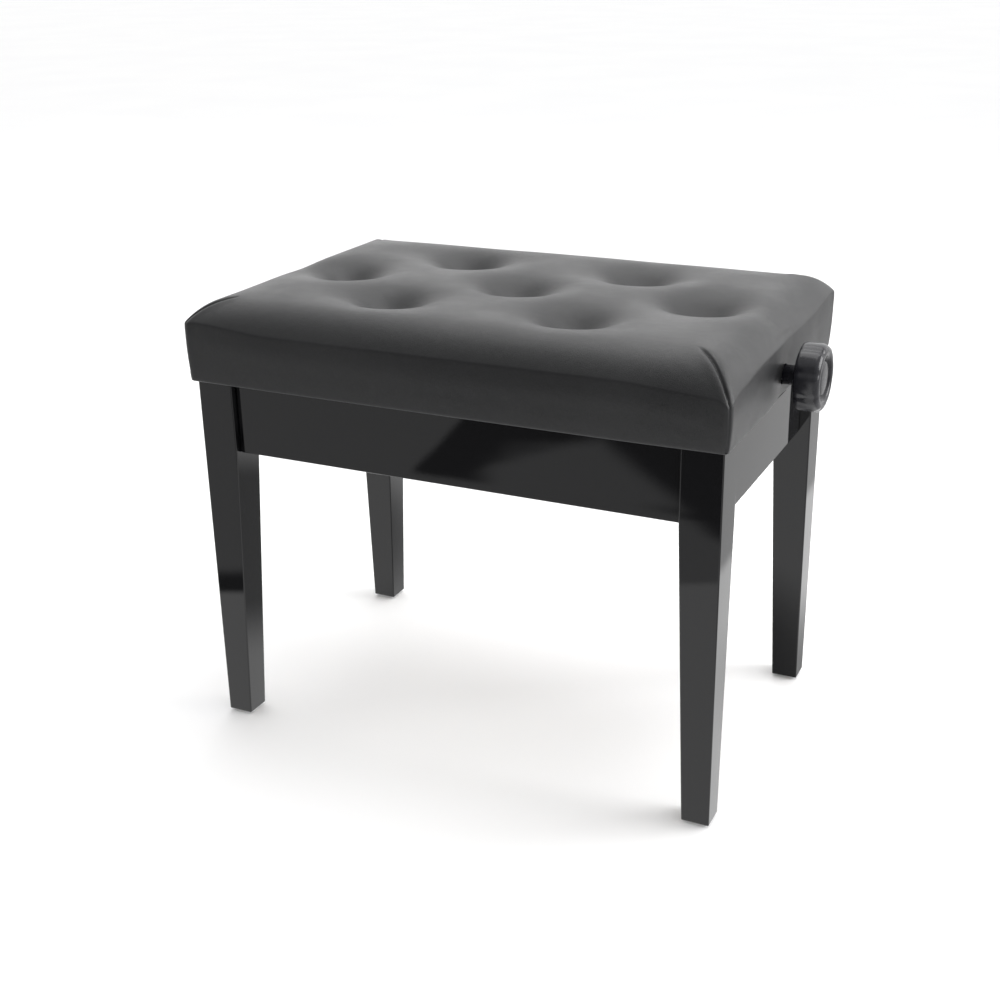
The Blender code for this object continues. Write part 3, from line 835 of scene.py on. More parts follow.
@dataclass
class Cushion:
    """The padded seat: a crowned, tufted top that rolls over into sides that draw in below."""

    material: Material
    corner: float = 0.0065
    roll_width_x: float = 0.034
    roll_width_y: float = 0.043
    roll_drop: float = 0.0255
    roll_power: float = 2.2
    corner_power: float = 3.0
    corner_reach: float = 0.11
    lean: float = 0.0050
    bottom_rise: float = 0.0006
    rise_reach: float = 0.03
    gap: float = 0.0003
    wall_margin: float = 0.0015
    crest: float = 0.4660
    crown: float = 0.0020
    tuft_depth: float = 0.0240
    tuft_spread_x: float = 0.0240
    tuft_spread_y: float = 0.0202
    tuft_pitch: float = 0.098
    tuft_row_pitch: float = 0.0875
    tuft_stray: float = 0.0015
    tuft_share: Span = (0.94, 1.06)
    tuft_hold: float = 0.008
    draw_in: float = 0.0018
    under_radius: float = 0.0022
    side_swell: float = 0.0006
    turn_under: float = 0.012
    dent: float = 0.0034
    dent_spread: float = 0.021
    dent_reach: float = 0.004
    seam_length: float = 0.043
    seam_width: float = 0.0012
    seam_depth: float = 0.0020
    seam_below: float = 0.25
    seam_reach: float = 0.02
    seam_zones: Span = (0.0075, 0.0045)
    puff_height: float = 0.0005
    puff_place: float = 0.0045
    puff_width: float = 0.003
    grid: float = 0.0055
    roll_steps: int = 9
    side_steps: int = 11
    swell_limit: float = 0.004
    pressure: float = 2.5
    sim_frames: int = 20
    hole_radius: float = 0.0104
    hole_reach: float = 0.008
    seed: int = 11

    def __post_init__(self) -> None:
        """Read the cushion's place from the frame."""
        low, high = corners("seat_cover")
        self.half_x, self.half_y, self.bottom = high.x, high.y, low.z
        _, frame_high = corners("seat_board")
        self.frame_inset = self.half_x - frame_high.x
        self.board_top = frame_high.z
        self.rim_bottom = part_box("seat_rim_front")[0][2]
        bush_low, bush_high = corners("screw_bush_right")
        self.screw_height = (bush_low.z + bush_high.z) / 2
        chance = random.Random(self.seed)
        self.tufts = []
        for x, y in self.tuft_places():
            aside, across = (chance.uniform(-self.tuft_stray, self.tuft_stray) for _ in "xy")
            self.tufts.append((x + aside, y + across, chance.uniform(*self.tuft_share)))

    def tuft_places(self) -> list[Span]:
        """The tufts' centres: rows of two, three and two."""
        rows = {-self.tuft_row_pitch: (-1, 1), 0.0: (-2, 0, 2), self.tuft_row_pitch: (-1, 1)}
        return [(step * self.tuft_pitch, y) for y, steps in rows.items() for step in steps]

    def build(self) -> Object:
        """Make the finished cushion.

        Returns:
            The cushion.
        """
        bm, pinned = self.blank()
        cushion = new_object("tufted_cushion", mesh_of("tufted_cushion", bm), self.material)
        self.inflate(cushion, pinned)
        cushion.modifiers.new("finer", "SUBSURF").levels = 1
        self.apply(cushion)
        self.close(cushion)
        self.refine(cushion)
        self.sew(cushion)
        self.pierce(cushion)
        cushion.data.shade_smooth()
        sharpen(cushion, 60)
        settle(cushion, "seat", ["seat_cover", "seat_foam"])
        return cushion

    def stations(self, half: float, width: float) -> list[float]:
        """Places of the grid lines across the cushion, closer together over the rolled edges.

        Args:
            half: Half the cushion's size that way.
            width: Width of the rolled edge that way.

        Returns:
            The places in order.
        """
        roll = [
            half - width * (1 - math.cos(math.pi / 2 * step / self.roll_steps))
            for step in range(self.roll_steps + 1)
        ]
        flat = roll[-1]
        count = max(2, round(2 * flat / self.grid))
        middle = [-flat + 2 * flat * step / count for step in range(1, count)]
        return [-place for place in roll] + middle + roll[::-1]

    def roll(self, distance: float, width: float) -> float:
        """How far the top has dropped at a distance in from an edge rolled over a width."""
        return self.roll_drop * max(0.0, 1 - distance / width) ** self.roll_power

    def nearness(self, x: float, y: float) -> float:
        """How near a place is to a corner: 1 there, easing to 0 at the corner's reach."""
        near = 1.0
        for distance in (self.half_x - abs(x), self.half_y - abs(y)):
            share = clamped(1 - distance / self.corner_reach)
            near *= share * share * (3 - 2 * share)
        return near

    def lifted(self, x: float, y: float) -> float:
        """How much less the padding's edge drops near each corner, since it was not packed evenly."""
        shares = {(-1, -1): 0.27, (1, -1): -0.25, (1, 1): 0.26, (-1, 1): -0.30}
        return shares[(1 if x > 0 else -1, 1 if y > 0 else -1)] * self.nearness(x, y)

    def top(self, x: float, y: float) -> float:
        """Height of the top before it is inflated.

        Args:
            x: Place along the bench.
            y: Place across the bench.

        Returns:
            The height.
        """
        drop_x = self.roll(self.half_x - abs(x), self.roll_width_x)
        drop_y = self.roll(self.half_y - abs(y), self.roll_width_y)
        power = self.corner_power
        drop = (drop_x**power + drop_y**power) ** (1 / power) * (1 - self.lifted(x, y))
        crown = self.crown * (1 - (x / self.half_x) ** 2) * (1 - (y / self.half_y) ** 2)
        height = self.crest + crown - drop
        for tuft_x, tuft_y, share in self.tufts:
            along, across = (x - tuft_x) / self.tuft_spread_x, (y - tuft_y) / self.tuft_spread_y
            height -= share * self.tuft_depth * math.exp(-(along**2 / 2 + across**2 / 2))
        return height

    def plan(self, x: float, y: float) -> tuple[Vector, Vector]:
        """Round the plan's corners.

        Args:
            x: Place along the bench on the square-cornered plan.
            y: Place across the bench on the square-cornered plan.

        Returns:
            The place on the rounded plan, and the outward direction there.
        """
        radius = self.corner
        over_x, over_y = abs(x) - (self.half_x - radius), abs(y) - (self.half_y - radius)
        if over_x <= 0 or over_y <= 0:
            along_x = over_x > over_y
            outward = (math.copysign(1.0, x), 0.0) if along_x else (0.0, math.copysign(1.0, y))
            return Vector((x, y)), Vector(outward)
        round_x = over_x * math.sqrt(1 - over_y**2 / (2 * radius**2))
        round_y = over_y * math.sqrt(1 - over_x**2 / (2 * radius**2))
        place = Vector(
            (
                math.copysign(self.half_x - radius + round_x, x),
                math.copysign(self.half_y - radius + round_y, y),
            )
        )
        outward = Vector((math.copysign(round_x, x), math.copysign(round_y, y))).normalized()
        return place, outward

    def side(self, share: float, lip: float) -> Span:
        """The side's section."""
        foot = self.bottom + self.under_radius
        inward = self.draw_in * share**1.6 - self.side_swell * math.sin(math.pi * share)
        return inward, lip + (foot - lip) * share

    def blank(self) -> tuple[Shape, list[float]]:
        """The cushion's outer skin before it is inflated.

        Returns:
            The open skin, down to the inner edge of the part turned under, and how firmly each point is
            held.
        """
        bm = bmesh.new()
        columns = self.stations(self.half_x, self.roll_width_x)
        rows = self.stations(self.half_y, self.roll_width_y)
        held = []
        net = []
        for y in rows:
            line = []
            for x in columns:
                place, _ = self.plan(x, y)
                line.append(bm.verts.new((place.x, place.y, self.top(x, y))))
                held.append(self.hold(x, y))
            net.append(line)
        for lower, upper in zip(net, net[1:]):
            for a, b, c, d in zip(lower, lower[1:], upper[1:], upper):
                bm.faces.new((a, b, c, d))
        last_x, last_y = len(columns) - 1, len(rows) - 1
        walk = [(0, i) for i in range(last_x)] + [(j, last_x) for j in range(last_y)]
        walk += [(last_y, i) for i in range(last_x, 0, -1)] + [(j, 0) for j in range(last_y, 0, -1)]
        rim = [net[j][i] for j, i in walk]
        facing = [self.plan(columns[i], rows[j]) for j, i in walk]
        rings = [rim]
        for offsets in self.section(rim):
            ring = []
            for (place, outward), (inward, height) in zip(facing, offsets):
                point = place - outward * inward
                ring.append(bm.verts.new((point.x, point.y, height)))
            rings.append(ring)
        below = [place - outward * self.frame_inset for place, outward in facing]
        shrink_x = 1 - self.turn_under / (self.half_x - self.frame_inset)
        shrink_y = 1 - self.turn_under / (self.half_y - self.frame_inset)
        for share in (0.3, 1.0):
            ring = []
            for place in below:
                x = place.x * (1 + (shrink_x - 1) * share)
                y = place.y * (1 + (shrink_y - 1) * share)
                ring.append(bm.verts.new((x, y, self.bottom)))
            rings.append(ring)
        join_rings(bm, [ring[::-1] for ring in rings])
        side_rows = self.side_steps
        for number, ring in enumerate(rings[1:], start=1):
            firm = clamped((number - 0.35 * side_rows) / (0.5 * side_rows))
            held += [firm] * len(ring)
        bm.verts.index_update()
        bmesh.ops.recalc_face_normals(bm, faces=bm.faces)
        return bm, held

    def section(self, rim: Sequence[Vertex]) -> list[list[Span]]:
        """Offsets and heights of every ring from the lip to under the bottom edge.

        Args:
            rim: The points along the lip.

        Returns:
            For each ring, each point's offset in from the outline and its height.
        """
        rings = []
        for step in range(1, self.side_steps + 1):
            rings.append([self.side(step / self.side_steps, vert.co.z) for vert in rim])
        radius = self.under_radius
        for step in range(1, 4):
            angle = math.pi / 2 * step / 3
            inward = self.draw_in + radius * (1 - math.cos(angle))
            height = self.bottom + radius * (1 - math.sin(angle))
            rings.append([(inward, height)] * len(rim))
        return rings

    def hold(self, x: float, y: float) -> float:
        """How firmly a point of the top is held while the cushion is inflated."""
        nearest = min(math.hypot(x - tuft_x, y - tuft_y) for tuft_x, tuft_y, _ in self.tufts)
        return 1.0 if nearest < self.tuft_hold else 0.0

    def inflate(self, cushion: Object, pinned: Sequence[float]) -> None:
        """Fill the skin with air as cloth, so that it puffs between its tufts.

        Args:
            cushion: The cushion's open skin, which is changed.
            pinned: How firmly each point is held.
        """
        bag = cushion.copy()
        bag.data = cushion.data.copy()
        bpy.context.scene.collection.objects.link(bag)
        with editing(bag) as bm:
            edges = [edge for edge in bm.edges if edge.is_boundary]
            middle = bm.verts.new((0.0, 0.0, self.bottom))
            for edge in edges:
                bm.faces.new((*edge.verts, middle))
            bmesh.ops.recalc_face_normals(bm, faces=bm.faces)
        group = bag.vertex_groups.new(name="held")
        for index, weight in enumerate([*pinned, 1.0]):
            if weight > 0:
                group.add([index], weight, "REPLACE")
        cloth = bag.modifiers.new("filling", "CLOTH")
        settings = cloth.settings
        settings.quality = 7
        settings.mass = 0.3
        settings.tension_stiffness = settings.compression_stiffness = 25.0
        settings.shear_stiffness = 10.0
        settings.bending_stiffness = 8.0
        settings.vertex_group_mass = group.name
        settings.pin_stiffness = 1.0
        settings.use_pressure = True
        settings.uniform_pressure_force = self.pressure
        settings.effector_weights.gravity = 0.0
        cloth.collision_settings.use_collision = False
        cloth.point_cache.frame_start = 1
        cloth.point_cache.frame_end = self.sim_frames
        scene = bpy.context.scene
        for step in range(1, self.sim_frames + 1):
            scene.frame_set(step)
        swollen = bag.evaluated_get(bpy.context.evaluated_depsgraph_get()).to_mesh()
        for vert, moved in zip(cushion.data.vertices, swollen.vertices):
            shift = moved.co - vert.co
            vert.co += shift * min(1.0, self.swell_limit / max(shift.length, 1e-9))
        scene.frame_set(1)
        bpy.data.objects.remove(bag)

    def close(self, cushion: Object) -> None:
        """Close the skin with an inner wall round the seat frame and a flat face on the board.

        Args:
            cushion: The cushion's open skin, which is changed.
        """
        gap = self.gap
        inset = self.frame_inset - gap
        scale_x = (self.half_x - inset) / (self.half_x - inset - self.turn_under)
        scale_y = (self.half_y - inset) / (self.half_y - inset - self.turn_under)
        steps = (
            (1.0, 1.0, self.rim_bottom - gap),
            (scale_x, scale_y, self.rim_bottom - gap),
            (1.0, 1.0, self.board_top + gap),
        )
        with editing(cushion) as bm:
            for grow_x, grow_y, height in steps:
                edges = [edge for edge in bm.edges if edge.is_boundary]
                grown = bmesh.ops.extrude_edge_only(bm, edges=edges)
                for vert in (item for item in grown["geom"] if isinstance(item, Vertex)):
                    vert.co = (vert.co.x * grow_x, vert.co.y * grow_y, height)
            bmesh.ops.contextual_create(bm, geom=[edge for edge in bm.edges if edge.is_boundary])
            bmesh.ops.recalc_face_normals(bm, faces=bm.faces)

    def refine(self, cushion: Object) -> None:
        """Divide the faces along the corner seams twice more.

        Args:
            cushion: The cushion, which is changed.
        """
        for zone in self.seam_zones:
            with editing(cushion) as bm:
                close = {vert for vert in bm.verts if self.seam(vert.co)[0] < zone}
                edges = [edge for edge in bm.edges if close.issuperset(edge.verts)]
                bmesh.ops.subdivide_edges(bm, edges=edges, cuts=1, use_grid_fill=True)

    def within(self, point: Vector, margin: float) -> bool:
        """Whether a point lies on or inside the inner wall."""
        limit = self.frame_inset - margin - self.gap
        beside = abs(point.x) <= self.half_x - limit and abs(point.y) <= self.half_y - limit
        return beside and self.rim_bottom - 0.001 < point.z < self.board_top + 0.001

    def apply(self, obj: Object) -> None:
        """Replace a mesh with what its modifiers make of it.

        Args:
            obj: The object, which is changed.
        """
        graph = bpy.context.evaluated_depsgraph_get()
        mesh = bpy.data.meshes.new_from_object(obj.evaluated_get(graph))
        obj.modifiers.clear()
        obj.data = mesh

    def seam(self, point: Vector) -> Span:
        """Where a point is from the nearest corner seam.

        Args:
            point: The point.

        Returns:
            Its distance to the seam's plane, or a long one where there is no seam, and how much of the
            seam's depth there is.
        """
        in_x, in_y = self.half_x - abs(point.x), self.half_y - abs(point.y)
        along = (in_x + in_y) / 2
        if along > self.seam_length + 0.004 or self.within(point, self.wall_margin):
            return 1.0, 0.0
        fade = clamped((self.seam_length - along) / 0.008)
        lip = self.crest - self.roll_drop - 0.006
        low = self.seam_below + (1 - self.seam_below) * clamped((point.z - lip + 0.004) / 0.008)
        low *= clamped((point.z - self.bottom - 0.002) / 0.004)
        return abs(in_x - in_y) / math.sqrt(2), fade * low

    def sew(self, cushion: Object) -> None:
        """Press the corner seams into the skin and dent it round the screw's ends.

        Args:
            cushion: The cushion, which is changed.
        """
        with editing(cushion) as bm:
            bm.normal_update()
            for vert, move in [(vert, self.tug(vert)) for vert in bm.verts]:
                vert.co += move

    def tug(self, vert: Vertex) -> Vector:
        """How far the seams, the screw's dent and the cover's lean move a point.

        Args:
            vert: The point, with its normal.

        Returns:
            The move.
        """
        move = Vector()
        distance, depth = self.seam(vert.co)
        if depth > 0 and distance < self.seam_reach:
            groove = self.seam_depth * math.exp(-((distance / self.seam_width) ** 2))
            puff = self.puff_height * math.exp(-(((distance - self.puff_place) / self.puff_width) ** 2))
            move += vert.normal * depth * (puff - groove)
        if abs(vert.co.x) > self.half_x - self.dent_reach:
            rise = (vert.co.z - self.screw_height) / (1.2 * self.dent_spread)
            across = vert.co.y / self.dent_spread
            push = self.dent * math.exp(-0.5 * (rise * rise + across * across))
            move.x -= math.copysign(push, vert.co.x)
        if not self.within(vert.co, self.wall_margin):
            front = 0.65 - 0.35 * vert.co.y / self.half_y
            move.x += self.lean * front * clamped(vert.co.x / self.half_x) ** 2
            low = clamped(1 - (vert.co.z - self.bottom) / self.rise_reach)
            move.z += self.bottom_rise * low * self.nearness(vert.co.x, vert.co.y)
        return move

    def pierce(self, cushion: Object) -> None:
        """Cut the holes that the knobs' necks pass through.

        Args:
            cushion: The cushion, which is changed.
        """
        radius, reach = self.hole_radius, self.hole_reach
        profile = [(0.0, -reach), (radius, -reach), (radius, reach), (0.0, reach)]
        pieces = []
        for end in End:
            place = Vector((end.value * self.half_x, 0.0, self.screw_height))
            pieces.append(aim(turned(profile, 40), Axis.X.vector(), place))
        cutter = new_object("hole_cutter", mesh_of("hole_cutter", merged(pieces)))
        holes = cushion.modifiers.new("holes", "BOOLEAN")
        holes.object = cutter
        holes.solver = "EXACT"
        self.apply(cushion)
        bpy.data.objects.remove(cutter)


@dataclass
class ButtonSet:
    """Covered buttons at the bottom of the tufts."""

    material: Material
    cushion: Object
    radius: float = 0.0075
    height: float = 0.0042
    sink: float = 0.0006
    dome_steps: int = 8

    def build(self) -> None:
        """Put a button in each tuft."""
        radius, height = self.radius, self.height
        profile = [(0.0, height)]
        for step in range(1, self.dome_steps + 1):
            angle = math.pi / 2 * step / self.dome_steps
            profile.append((radius * math.sin(angle), height * math.cos(angle)))
        profile += [(radius * 0.96, -0.0008), (radius * 0.8, -0.0018), (0.0, -0.0018)]
        surface = BVHTree.FromObject(self.cushion, bpy.context.evaluated_depsgraph_get())
        for number in range(1, 8):
            node = f"tuft_button_{number}"
            low, high = corners(node)
            middle = (low + high) / 2
            above = Vector((middle.x, middle.y, 0.6))
            hit, _, _, _ = surface.ray_cast(above, Vector((0, 0, -1)))
            place = Vector((middle.x, middle.y, hit.z - self.sink))
            bm = aim(turned(profile, 32), Axis.Z.vector(), place)
            button = new_object(f"covered_{node}", mesh_of(node, bm), self.material)
            settle(button, "seat", [node])


@dataclass
class SeatFrame:
    """The plywood board and its rim of four rails, with the staples that hold the cover."""

    finishes: Finishes
    corner: float = 0.0018
    edge: float = 0.0006
    near: float = 0.0005
    staple_length: float = 0.010
    staple_wire: float = 0.0006
    staple_pitch: float = 0.028
    staple_inset: float = 0.0095
    staple_end: float = 0.03
    staple_turn: float = 0.3

    def build(self) -> None:
        """Make the board, the long rails and the staples, and dress the short rails."""
        self.slab("seat_board", self.finishes.board, "plywood_board")
        self.slab("seat_rim_front", self.finishes.rim_long, "front_rail")
        self.slab("seat_rim_back", self.finishes.rim_long, "back_rail")
        for end in End:
            dress(f"seat_rim_{end.label}", self.finishes.rim_short)
        self.staples()

    def slab(self, node: str, material: Material, name: str) -> None:
        """Make a wooden piece whose outer upright corners are rounded.

        Args:
            node: The part that it stands for.
            material: Its wood.
            name: The new piece's name.
        """
        low, high = corners(node)
        outline = abs(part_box("seat_board")[0][1])
        bm = bmesh.new()
        place = Matrix.Translation((low + high) / 2) @ Matrix.Diagonal((*(high - low), 1.0))
        bmesh.ops.create_cube(bm, size=1.0, matrix=place)
        upright = []
        for edge in bm.edges:
            first, second = (vert.co for vert in edge.verts)
            outer = abs(abs(first.y) - outline) < self.near
            if outer and abs(first.z - second.z) > 0.001 and abs(first.x - second.x) < self.near:
                upright.append(edge)
        bmesh.ops.bevel(bm, geom=upright, offset=self.corner, segments=6, profile=0.5, affect="EDGES")
        round_edges(bm, self.edge, 2, 40.0)
        piece = new_object(name, mesh_of(name, bm), material)
        weighted(piece)
        settle(piece, "seat", [node])

    def staples(self) -> None:
        """Staple the turned-under cover to the rails from below."""
        low, high = corners("seat_cover")
        chance = random.Random(5)
        pieces = []
        for axis, length, across in ((Axis.X, high.x, high.y), (Axis.Y, high.y, high.x)):
            run = length - self.staple_end
            count = int(2 * run / self.staple_pitch)
            for side in (-1, 1):
                for number in range(count):
                    along = -length + self.staple_end + (number + 0.5) * 2 * run / count
                    out = side * (across - self.staple_inset)
                    x, y = (along, out) if axis is Axis.X else (out, along)
                    half = Vector((self.staple_length, self.staple_wire, self.staple_wire)) / 2
                    bm = rounded_box(-half, half, self.staple_wire * 0.3, 2)
                    turn = chance.uniform(-self.staple_turn, self.staple_turn)
                    turn += 0.0 if axis is Axis.X else math.pi / 2
                    place = Matrix.Translation((x, y, low.z - self.staple_wire * 0.2))
                    bmesh.ops.transform(bm, matrix=place @ Matrix.Rotation(turn, 4, "Z"), verts=bm.verts)
                    pieces.append(bm)
        staples = new_object("cover_staples", mesh_of("cover_staples", merged(pieces)), self.finishes.zinc)
        settle(staples, "seat")


# --------------------------------------------------------------------------------------------------
# Screw, knobs and lift
# --------------------------------------------------------------------------------------------------


@dataclass
class KnobPair:
    """Two moulded knobs: a long neck, eight shallow scallops and a face with a sunk ring."""

    material: Material
    scallops: int = 8
    scallop_radius: float = 0.009
    scallop_depth: float = 0.0012
    neck_length: float = 0.016
    neck: float = 0.0095
    ring: float = 0.0225
    steps: int = 192

    def build(self) -> None:
        """Make both knobs."""
        for end in End:
            self.knob(end)

    def rim(self, radius: float) -> list[float]:
        """The knob's outline, as a radius at each step round it.

        Args:
            radius: The radius between the scallops.

        Returns:
            The radii.
        """
        reach = radius + self.scallop_radius - self.scallop_depth
        pitch = 2 * math.pi / self.scallops
        sharp = []
        for step in range(self.steps):
            angle = (2 * math.pi * step / self.steps) % pitch - pitch / 2
            aside = reach * math.sin(angle)
            if abs(aside) < self.scallop_radius:
                cut = reach * math.cos(angle) - math.sqrt(self.scallop_radius**2 - aside**2)
                sharp.append(min(radius, cut))
            else:
                sharp.append(radius)
        window = range(-2, 3)
        return [
            sum(sharp[(step + shift) % self.steps] for shift in window) / len(window)
            for step in range(self.steps)
        ]

    def knob(self, end: End) -> None:
        """Make one knob.

        Args:
            end: The end of the bench that it is on.
        """
        node = f"knob_{end.label}"
        low, high = corners(node)
        radius = (high.z - low.z) / 2
        face = max(abs(low.x), abs(high.x))
        start = min(abs(low.x), abs(high.x))
        back = start + self.neck_length
        neck, ring = self.neck, self.ring
        sections = [
            (0.0, start, 0.0),
            (neck - 0.0006, start, 0.0),
            (neck, start + 0.0006, 0.0),
            (neck, back - 0.0035, 0.0),
            (neck + 0.0008, back - 0.0012, 0.0),
            (neck + 0.0030, back, 0.0),
            (radius * 0.78, back + 0.0001, 0.0),
            (radius - 0.0034, back + 0.0003, 0.6),
            (radius - 0.0012, back + 0.0013, 1.0),
            (radius - 0.0003, back + 0.0032, 1.0),
            (radius, back + 0.0060, 1.0),
            (radius, back + 0.0110, 1.0),
            (radius - 0.0002, face - 0.0060, 1.0),
            (radius - 0.0012, face - 0.0032, 1.0),
            (radius - 0.0030, face - 0.0012, 0.9),
            (radius - 0.0052, face - 0.0002, 0.5),
            (radius - 0.0074, face, 0.0),
            (ring, face - 0.0005, 0.0),
            (ring - 0.0012, face - 0.0016, 0.0),
            (ring - 0.0020, face - 0.0044, 0.0),
            (ring - 0.0028, face - 0.0050, 0.0),
            (ring - 0.0048, face - 0.0050, 0.0),
            (ring - 0.0056, face - 0.0042, 0.0),
            (ring - 0.0063, face - 0.0026, 0.0),
            (ring - 0.0075, face - 0.0019, 0.0),
            (0.0110, face - 0.0014, 0.0),
            (0.0060, face - 0.0011, 0.0),
            (0.0, face - 0.0010, 0.0),
        ]
        outline = self.rim(radius)

        def reach(number: int, step: int) -> float:
            """The radius at a section and a step round, with the section's share of the scallops."""
            ring_radius, _, share = sections[number]
            return ring_radius - share * (radius - outline[step])

        bm = turned([(ring_radius, height) for ring_radius, height, _ in sections], self.steps, reach)
        direction = Vector((end.value, 0.0, 0.0))
        middle = Vector((0.0, (low.y + high.y) / 2, (low.z + high.z) / 2))
        knob = new_object(f"moulded_{node}", mesh_of(node, aim(bm, direction, middle)), self.material)
        settle(knob, "screw", [node])


@dataclass
class LeadScrew:
    """The screw: rolled thread between plain ends."""

    material: Material
    lead: float = 0.003
    thread_depth: float = 0.0011
    thread_low: float = 0.085
    thread_high: float = 0.240
    spigot: float = 0.004
    spigot_length: float = 0.022
    edge: float = 0.0005
    steps: int = 36
    rings_per_turn: int = 8

    def build(self) -> None:
        """Make the screw as one turned piece whose radius follows the thread."""
        low, high = corners("lead_screw")
        radius = (high.z - low.z) / 2
        screw_centre = Vector((0.0, (low.y + high.y) / 2, (low.z + high.z) / 2))
        spigot, shoulder = self.spigot, high.x - self.spigot_length
        edge = self.edge
        profile = [(0.0, low.x), (spigot - edge, low.x), (spigot, low.x + edge)]
        profile += [(spigot, -shoulder), (radius - edge, -shoulder), (radius, -shoulder + edge)]
        plain = len(profile)
        count = int((self.thread_high - self.thread_low) / self.lead * self.rings_per_turn) + 1
        pitch = self.lead / self.rings_per_turn
        profile += [(radius, self.thread_low + number * pitch) for number in range(count)]
        profile += [(radius, shoulder - edge), (radius - edge, shoulder), (spigot, shoulder)]
        profile += [(spigot, high.x - edge), (spigot - edge, high.x), (0.0, high.x)]

        def reach(number: int, step: int) -> float:
            """The radius at a point of the profile and a step round, cut by the thread along its run."""
            out, x = profile[number]
            return self.thread(x, step, radius) if plain <= number < plain + count else out

        bm = aim(turned(profile, self.steps, reach), Axis.X.vector(), screw_centre)
        screw = new_object("threaded_screw", mesh_of("threaded_screw", bm), self.material)
        sharpen(screw, 50)
        settle(screw, "screw", ["lead_screw"])

    def thread(self, x: float, step: int, radius: float) -> float:
        """Radius of the thread.

        Args:
            x: Place along the screw.
            step: Step round it.
            radius: Radius over the crests.

        Returns:
            The radius there.
        """
        phase = (x / self.lead + step / self.steps) % 1.0
        flank = clamped((abs(phase - 0.5) - 0.12) / 0.22)
        ease = min(x - self.thread_low, self.thread_high - x) / (2 * self.lead)
        return radius - self.thread_depth * flank * clamped(ease)


@dataclass
class LiftHardware:
    """The steel scissor, its pins, rollers and rails, with the base rails' mounting screws."""

    finishes: Finishes
    rail_gauge: float = 0.0021
    screw_places: tuple[float, ...] = (-0.17, -0.06, 0.06, 0.17)

    def build(self) -> None:
        """Dress the lift's parts and add its small fasteners."""
        finishes = self.finishes
        coat, zinc, brass, nylon = finishes.coat, finishes.zinc, finishes.brass, finishes.nylon
        for side in Side:
            for stem in ("base_rail", "seat_rail", "lift_arm", "cross_arm"):
                dress(f"{stem}_{side.label}", coat)
            for stem in ("centre_pin", "upper_pin"):
                dress(f"{stem}_{side.label}", zinc)
            dress(f"roller_{side.label}", nylon)
            for end in End:
                dress(f"corner_block_{side.label}_{end.label}", finishes.block)
                dress(f"hanger_bolt_{side.label}_{end.label}", zinc)
        dress("lower_pivot_shaft", zinc)
        dress("roller_shaft", zinc)
        dress("screw_nut", brass)
        for end in End:
            dress(f"screw_collar_{end.label}", zinc)
            dress(f"screw_bush_{end.label}", nylon)
        self.rail_screws()
        LOG.info("lift hardware dressed")

    def rail_screws(self) -> None:
        """Put pan-head screws through the base rails into the aprons."""
        pieces = []
        for side in Side:
            low, high = corners(f"base_rail_{side.label}")
            web = low.y if side is Side.FRONT else high.y
            face = web - side.value * self.rail_gauge
            for x in self.screw_places:
                place = Vector((x, face, (low.z + high.z) / 2))
                pieces.append(self.pan_head(place, Vector((0, -side.value, 0))))
        name = "base_rail_screws"
        screws = new_object(name, mesh_of(name, merged(pieces)), self.finishes.zinc)
        sharpen(screws, 40)
        settle(screws, "base")

    def pan_head(self, place: Vector, direction: Vector) -> Shape:
        """A pan-head screw's head with a cross recess suggested by a sunk centre.

        Args:
            place: The middle of its seat.
            direction: Where the head faces.

        Returns:
            The head.
        """
        profile = [
            (0.0, 0.0),
            (0.0036, 0.0),
            (0.0038, 0.0008),
            (0.0034, 0.0017),
            (0.0022, 0.0022),
            (0.0014, 0.0022),
            (0.0009, 0.0012),
            (0.0, 0.0009),
        ]
        return aim(turned(profile, 24), direction, place)


# --------------------------------------------------------------------------------------------------
# Studio
# --------------------------------------------------------------------------------------------------


